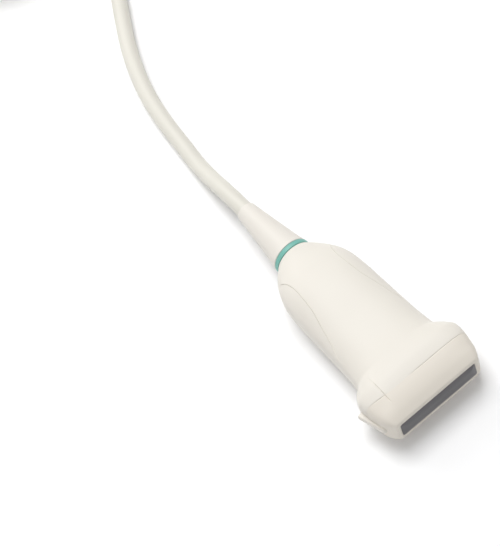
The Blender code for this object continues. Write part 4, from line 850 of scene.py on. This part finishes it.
# %% Handle shells
WALL, RIM_WALL = 0.0018, 0.0024
PARTING = 0.00005  # half of the gap where the two shells meet
PALM_FROM, PALM_TO, HEEL_FROM, RIM = SEAM + 0.0006, 0.0735, 0.0739, 0.0876
UNLEAN = 0.0065  # the seam's lean dies out over this length
SEAM_ROUND = [(SEAM, EDGE), (SEAM + EDGE * MID_ROUND, EDGE * MID_ROUND), (SEAM + EDGE, 0.0)]
MOUTH_ROUND = [(MOUTH - 0.0004, 0.0), (MOUTH - 0.00012, 0.00004), (MOUTH, 0.00018)]


def handle_shell(name, node, side):
    half = 2 * (TOPS + SIDES) + 1
    run = np.concatenate([np.linspace(PALM_FROM, PALM_TO, 120), np.linspace(HEEL_FROM, RIM, 40)])
    stations = SEAM_ROUND + [(y, 0.0) for y in run] + MOUTH_ROUND
    rings = []
    for number, (y, inset) in enumerate(stations):
        lean = 1 - ease((y - PALM_FROM) / UNLEAN)
        outer = swept(y, lean)[:half]
        inner = swept(y, lean, WALL if y < RIM else RIM_WALL)[half - 1 :: -1]
        if number < len(SEAM_ROUND):
            outer = at_seam(y, inset, 1)[:half]
        elif inset:
            outer = arch(y, inset)
        shell = np.concatenate([outer, inner])
        shell[:, 2] = np.maximum(shell[:, 2], PARTING)
        rings.append(shell * (1, 1, side) + np.array(PROBE))
    folds = (SIDES, SIDES + 2 * TOPS)
    stand_for(skin(name, rings, housing_cream, caps="strip", creases=folds), node)


handle_shell("handle_top", "handle_upper_shell", 1)
handle_shell("handle_underside", "handle_lower_shell", -1)

# %% [markdown]
# ## Nose cap
#
# The cap carries the window. One skin runs from the window's edge over the flat lip, round the
# face's edge, back along the cheeks to the seam, and inside again over a spigot that plugs into the
# handle. The window and the lens share one outline, a long bar with small round corners.

# %% The window's outline
WINDOW_X, WINDOW_Z, WINDOW_CORNER = 0.0190, 0.00435, 0.0010
LEAST_CORNER = 0.0002


def window(y, grow=0.0):
    """The window's outline, larger by grow, with as many points as a whole section."""
    half_x, half_z, r = WINDOW_X + grow, WINDOW_Z + grow, max(WINDOW_CORNER + grow, LEAST_CORNER)
    x_top = (half_x - r) * np.arange(TOPS) / TOPS
    bend = SIDES * 2 // 3
    a = np.linspace(pi / 2, 0, bend + 1)
    side_x = np.concatenate([half_x - r + r * np.cos(a), np.full(SIDES - bend, half_x)])
    side_z = np.concatenate([half_z - r + r * np.sin(a), np.linspace(half_z - r, 0, SIDES - bend + 1)[1:]])
    x, z = np.concatenate([x_top, side_x]), np.concatenate([np.full(TOPS, half_z), side_z])
    over = np.stack([np.concatenate([x[::-1], -x[1:]]), np.concatenate([z[::-1], z[1:]])], 1)
    loop = np.concatenate([over, over[-2:0:-1] * (1, -1)])
    return np.stack([loop[:, 0], np.full(len(loop), y), loop[:, 1]], 1)


print("window", WINDOW_X * 2000, "mm by", WINDOW_Z * 2000, "mm")

# %% Nose cap
FACE_EDGE, LIP_EDGE, LIP_DEPTH = 0.0006, 0.00025, 0.0018
SLIT = 0.00006  # between the lens and the lip
CHEEK_FROM, CHEEK_TO = FACE_EDGE * 1.5, SEAM - 0.0006
CHEEK_LEAN, CHEEK_UNLEAN = 0.0045, 0.0060  # where the seam's lean begins, and how long it grows
SPIGOT_END, SPIGOT_SKIN, SPIGOT_BORE = SEAM + 0.0035, 0.0021, 0.0031
BORE_FRONT, POCKET_BACK, POCKET_WALL = SEAM - 0.0015, 0.0057, 0.0020
STACK_BACK, STACK_ROOM = 0.0033, 0.0012

lip = [window(LIP_DEPTH, SLIT)]
lip += [window(s, SLIT + d) for d, s in rounding(LIP_EDGE, 5)]
face = [whole(d, s) for d, s in rounding(FACE_EDGE, 7)]
cheeks = [swept(y, ease((y - CHEEK_LEAN) / CHEEK_UNLEAN)) for y in np.linspace(CHEEK_FROM, CHEEK_TO, 34)]
seam_edge = [at_seam(SEAM - EDGE, 0.0, -1)]
seam_edge += [at_seam(SEAM - EDGE * MID_ROUND, EDGE * MID_ROUND, -1), at_seam(SEAM, EDGE, -1)]
spigot = [swept(SEAM, 1.0, SPIGOT_SKIN), whole(SPIGOT_END, SPIGOT_SKIN), whole(SPIGOT_END, SPIGOT_BORE)]
inside = [whole(BORE_FRONT, SPIGOT_BORE), whole(POCKET_BACK, POCKET_WALL)]
inside += [window(STACK_BACK, STACK_ROOM), window(LIP_DEPTH, STACK_ROOM)]
cap_rings = np.array(lip + face + cheeks + seam_edge + spigot + inside) + np.array(PROBE)
around = len(cap_rings[0])
fold_lines = [SIDES, SIDES + 2 * TOPS, around - SIDES, around - SIDES - 2 * TOPS]
stand_for(skin("nose_cap", cap_rings, nose_cream, back_to_start=True, creases=fold_lines), "nosepiece")

# %% [markdown]
# ## Lens strip
#
# The dark strip is a rubber lens that focuses the sound. It is flat along its middle, where it
# touches the skin, and falls off softly to the window's edge.

# %% Lens
DOME, FLAT_FROM = 0.0006, 0.72  # the dome's height, and the share of the half width where it is flat
FOOT_FRONT, FOOT_BACK, FOOT = 0.0021, 0.0030, 0.0009

bulge = []
for t in np.linspace(0.74, 0.0, 14):
    rise = min(t / FLAT_FROM, 1.0)
    bulge.append(window(-DOME * (1 - (1 - rise) ** 2), -t * WINDOW_Z))
foot = [window(FOOT_FRONT), window(FOOT_FRONT, FOOT), window(FOOT_BACK, FOOT)]
lens_rings = np.array(bulge + foot) + np.array(PROBE)
stand_for(skin("lens_strip", lens_rings, lens_rubber, caps="flat"), "acoustic_lens")

# %% [markdown]
# ## Orientation rib
#
# A small straight ridge on one side of the head tells the fingers which end of the picture is
# which. It stands out by about a millimetre at the front and by more than two at the back.

# %% Rib
RIB_FRONT, RIB_BACK, RIB_HALF = 0.0041, 0.0167, 0.0014
RIB_ROOT, PROUD_FRONT, PROUD_BACK = 0.0003, 0.0012, 0.0024
RIB_ROUND = 0.00055
END_FRONT, END_BACK = 0.05, 0.045  # shares of the length over which its ends are rounded
END_OUT, END_HALF = 0.35, 0.6  # shares of its size that are left at the very ends

front_line, back_line = half_width(RIB_FRONT) + PROUD_FRONT, half_width(RIB_BACK) + PROUD_BACK
rib_rings = []
for t in np.concatenate([[0.0, 0.004, 0.012, 0.03], np.linspace(0.06, 0.94, 36), [0.965, 0.985, 0.996, 1.0]]):
    y = RIB_FRONT + (RIB_BACK - RIB_FRONT) * t
    low = half_width(y) - RIB_ROOT
    top = front_line * (1 - t) + back_line * t
    end = min(t / END_FRONT, (1 - t) / END_BACK, 1.0)
    swell = (1 - (1 - end) ** 2) ** 0.5
    high = low + (top - low) * (END_OUT + (1 - END_OUT) * swell)
    half = RIB_HALF * (END_HALF + (1 - END_HALF) * swell)
    r = min(RIB_ROUND, (high - low) / 2)
    turns = np.linspace(0, pi / 2, 6)
    upper = [(high - r + r * cos(a), half - r + r * sin(a)) for a in turns]
    section = [(low, -half)] + [(x, -z) for x, z in upper[::-1]] + upper + [(low, half)]
    rib_rings.append([(-x, y, z) for x, z in section])
rib_rings = np.array(rib_rings) + np.array(PROBE)
stand_for(skin("finger_rib", rib_rings, housing_cream, caps="flat"), "orientation_rib")

# %% [markdown]
# ## Ring and strain relief
#
# The coloured ring tells one probe from another on the cart. Behind it a rubber cone keeps the lead
# from kinking. Both are turned about the lead's axis, so a profile is all they need.

# %% Teal ring
RING_EDGE, RING_WALL = 0.00018, 0.0024
ring_round = rounding(RING_EDGE, 5)
ring_profile = [(RING_FRONT, RING_RADIUS - RING_WALL)]
ring_profile += [(RING_FRONT + d, RING_RADIUS - s) for d, s in ring_round]
ring_profile += [(RING_BACK - d, RING_RADIUS - s) for d, s in ring_round[::-1]]
ring_profile += [(RING_BACK, RING_RADIUS - RING_WALL)]
stand_for(turned("teal_ring", ring_profile, ring_teal), "identification_ring")

# %% Strain relief
BOOT_BASE, BASE_EDGE, TAPER = 0.00860, 0.0003, 0.9
TIP_RADIUS, TIP_EDGE, BORE = 0.0044, 0.0005, 0.0039
FLANGE_FRONT, FLANGE_BACK, FLANGE, SLEEVE = 0.0858, 0.0873, 0.0071, 0.0060
BOOT_LENGTH = BOOT_TIP - BOOT_FRONT

boot_profile = [(FLANGE_FRONT, BORE), (FLANGE_FRONT, FLANGE), (FLANGE_BACK, FLANGE)]
boot_profile += [(FLANGE_BACK, SLEEVE), (BOOT_FRONT, SLEEVE)]
boot_profile += [(BOOT_FRONT + d, BOOT_BASE - s) for d, s in rounding(BASE_EDGE, 4)]
for t in np.linspace(0.03, 1 - TIP_EDGE / BOOT_LENGTH, 30):
    boot_profile.append((BOOT_FRONT + BOOT_LENGTH * t, BOOT_BASE + (TIP_RADIUS - BOOT_BASE) * t**TAPER))
boot_profile += [(BOOT_TIP - d, TIP_RADIUS - s) for d, s in rounding(TIP_EDGE, 6)[-2::-1]]
boot_profile.append((BOOT_TIP, BORE))
cable_boot = stand_for(turned("cable_boot", boot_profile, boot_cream), "strain_relief")

# %% [markdown]
# ## Ties around the coil
#
# A strap follows whatever it holds. At each tie the section of the coil is known, so the strap is
# drawn as the tightest loop around those circles: for each direction out of the bundle's middle it
# takes the farthest point of their hull.

# %% The tightest loop around the coil
CIRCLE_POINTS, LOOP_POINTS = 40, 72
PARALLEL, TINY = 1e-12, 1e-6


def hull(points):
    """Corners of the smallest convex outline around points in a plane."""
    points = sorted(set((round(float(x), 7), round(float(y), 7)) for x, y in points))

    def half(ordered):
        kept = []
        for p in ordered:
            while len(kept) > 1:
                (ax, ay), (bx, by) = kept[-2], kept[-1]
                if (bx - ax) * (p[1] - ay) - (by - ay) * (p[0] - ax) > 0:
                    break
                kept.pop()
            kept.append(p)
        return kept[:-1]

    return np.array(half(points) + half(points[::-1]))


def reach(closed, ray):
    """How far a ray from the middle goes to the farthest side of a closed outline."""
    best = 0.0
    for p, q in zip(closed, closed[1:]):
        d = q - p
        under = ray[0] * d[1] - ray[1] * d[0]
        if abs(under) < PARALLEL:
            continue
        far = (p[0] * d[1] - p[1] * d[0]) / under
        part = (p[0] * ray[1] - p[1] * ray[0]) / under
        if far > 0 and -TINY <= part <= 1 + TINY:
            best = max(best, far)
    return best


def strap_loop(angle, spare):
    """The coil's section at an angle, wrapped at a distance, as (radius, height) points."""
    turns = [angle + 360 * n for n in range(-1, 9) if FIRST_ANGLE <= angle + 360 * n <= LAST_ANGLE]
    centres = [coil_section(a) for a in turns]
    circle = np.arange(CIRCLE_POINTS) * tau / CIRCLE_POINTS
    away = JACKET_RADIUS + spare
    outline = hull([(r + away * cos(k), z + away * sin(k)) for r, z in centres for k in circle])
    bundle = outline.mean(0)
    closed = np.vstack([outline, outline[:1]]) - bundle
    rays = [np.array([cos(k), sin(k)]) for k in np.arange(LOOP_POINTS) * tau / LOOP_POINTS]
    return [bundle + ray * reach(closed, ray) for ray in rays]


print(len(strap_loop(150, 0.0)), "points around the bundle")

# %% Ties
TIE_HALF, TIE_INSIDE, TIE_OUTSIDE, TIE_EDGE = 0.0060, 0.00005, 0.00125, 0.00015
TIE_ANGLES = {"tie_back": 150, "tie_front": 290}


def strap(name, node, angle):
    """A woven strap 12 mm wide around the coil."""
    half = np.degrees(TIE_HALF / (OUTER - PITCH / 2))
    across = np.linspace(-half, half, 7)
    rings = []
    for spare, order in ((TIE_INSIDE, across), (TIE_OUTSIDE, across[::-1])):
        for offset in order:
            edge = TIE_EDGE if abs(offset) == half and spare == TIE_OUTSIDE else 0.0
            a = radians(angle + offset)
            loop = strap_loop(angle + offset, spare - edge)
            rings.append([(COIL_CENTRE.x + r * cos(a), COIL_CENTRE.y + r * sin(a), z) for r, z in loop])
    return stand_for(skin(name, rings, strap_cloth, back_to_start=True), node)


ties = [strap(name, "coil_" + name, angle) for name, angle in TIE_ANGLES.items()]

# %% [markdown]
# ## The pieces that keep their solids
#
# The plug and everything inside the housing have the right shape already, so they only get their
# finish. Their meshes stay as they are and modifiers do the rest: one joins the facets and shades
# every gentle turn as a round, and a small bevel takes the sharpness off the plug's metal mouth and
# the contact block in it.

# %% Finishes for the solids
finishes = {
    matching_layer: ["matching_layer_outer", "matching_layer_inner"],
    piezo_ceramic: ["piezo_array"],
    backing_epoxy: ["backing_block"],
    flex_polyimide: ["signal_flex_upper", "signal_flex_lower"],
    aluminium: ["heat_spreader"],
    chassis_black: ["array_carrier", "chassis_frame", "contact_block"],
    board_green: ["interconnect_board", "plug_board"],
    socket_ivory: ["flex_socket_upper", "flex_socket_lower", "coax_terminal_upper", "coax_terminal_lower"],
    ribbon_blue: ["coax_ribbon_upper", "coax_ribbon_lower"],
    clamp_grey: ["cable_clamp_upper", "cable_clamp_lower", "plug_cable_clamp"],
    ferrule_brass: ["braid_ferrule"],
    contact_gold: ["contact_comb_upper", "contact_comb_lower"],
    tinned_steel: ["shield_can_upper", "shield_can_lower", "clamp_screw_left", "clamp_screw_right"]
    + ["plug_shroud", "guide_pin_left", "guide_pin_right"]
    + ["plug_screw_rear_left", "plug_screw_rear_right", "plug_screw_front_left", "plug_screw_front_right"],
    plug_cream: ["plug_upper_shell", "plug_lower_shell"],
    boot_cream: ["plug_strain_relief"],
}
for material, names in finishes.items():
    for name in names:
        nodes[name].material_slots[0].material = material
print(sum(len(names) for names in finishes.values()), "solids finished")

# %% Softened edges
MERGE = 0.000002  # points closer than this are one


def soften(names, width):
    for name in names:
        weld = nodes[name].modifiers.new("weld", "WELD")
        weld.merge_threshold = MERGE
        bevel = nodes[name].modifiers.new("bevel", "BEVEL")
        bevel.width = width
        bevel.segments = 3
        bevel.limit_method = "ANGLE"
        bevel.angle_limit = radians(40)


soften(["plug_shroud", "contact_block"], 0.0002)
print("edges softened")

# %% Rounds without facets


def smooth_rounds(limit):
    """A geometry group that joins the facets and shades smoothly across every turn below the limit."""
    group = bpy.data.node_groups.new("smooth_rounds", "GeometryNodeTree")
    for way in ("INPUT", "OUTPUT"):
        group.interface.new_socket(name="Geometry", in_out=way, socket_type="NodeSocketGeometry")
    shape = group.nodes.new("NodeGroupInput").outputs["Geometry"]
    angle = group.nodes.new("GeometryNodeInputMeshEdgeAngle").outputs["Unsigned Angle"]
    gentle = place(group, "FunctionNodeCompare", operation="LESS_THAN", A=angle, B=radians(limit))
    steps = [
        ("GeometryNodeRemoveAttribute", {"Name": "custom_normal"}),
        ("GeometryNodeMergeByDistance", {"Distance": MERGE}),
        ("GeometryNodeSetShadeSmooth", {"domain": "FACE"}),
        ("GeometryNodeSetShadeSmooth", {"domain": "EDGE", "Shade_Smooth": gentle.outputs["Result"]}),
    ]
    for kind, settings in steps:
        shape = place(group, kind, Geometry=shape, **settings).outputs["Geometry"]
    feed(group.nodes.new("NodeGroupOutput"), Geometry=shape)
    return group


rounds = smooth_rounds(34)
kept_solids = [name for names in finishes.values() for name in names]
for name in kept_solids:
    nodes[name].modifiers.new("smooth_rounds", "NODES").node_group = rounds
print(len(kept_solids), "solids shaded smoothly across their gentle turns")

# %% [markdown]
# ## The lead's finish and what sits on it
#
# The lead is one cord of its real length that leaves the probe at the ring. It gets its jacket finish here,
# and the pieces that sit on it, from the strain relief to the plug, are gathered in a list.

# %% Finish the lead and list what sits on it
lead_curve.materials.append(jacket_cream)
on_lead = [cable_boot, *ties]
on_lead += [nodes[n] for n in sorted(nodes) if n.startswith(("plug_", "contact_", "guide_pin"))]
print("cord with", len(on_lead), "pieces on it")
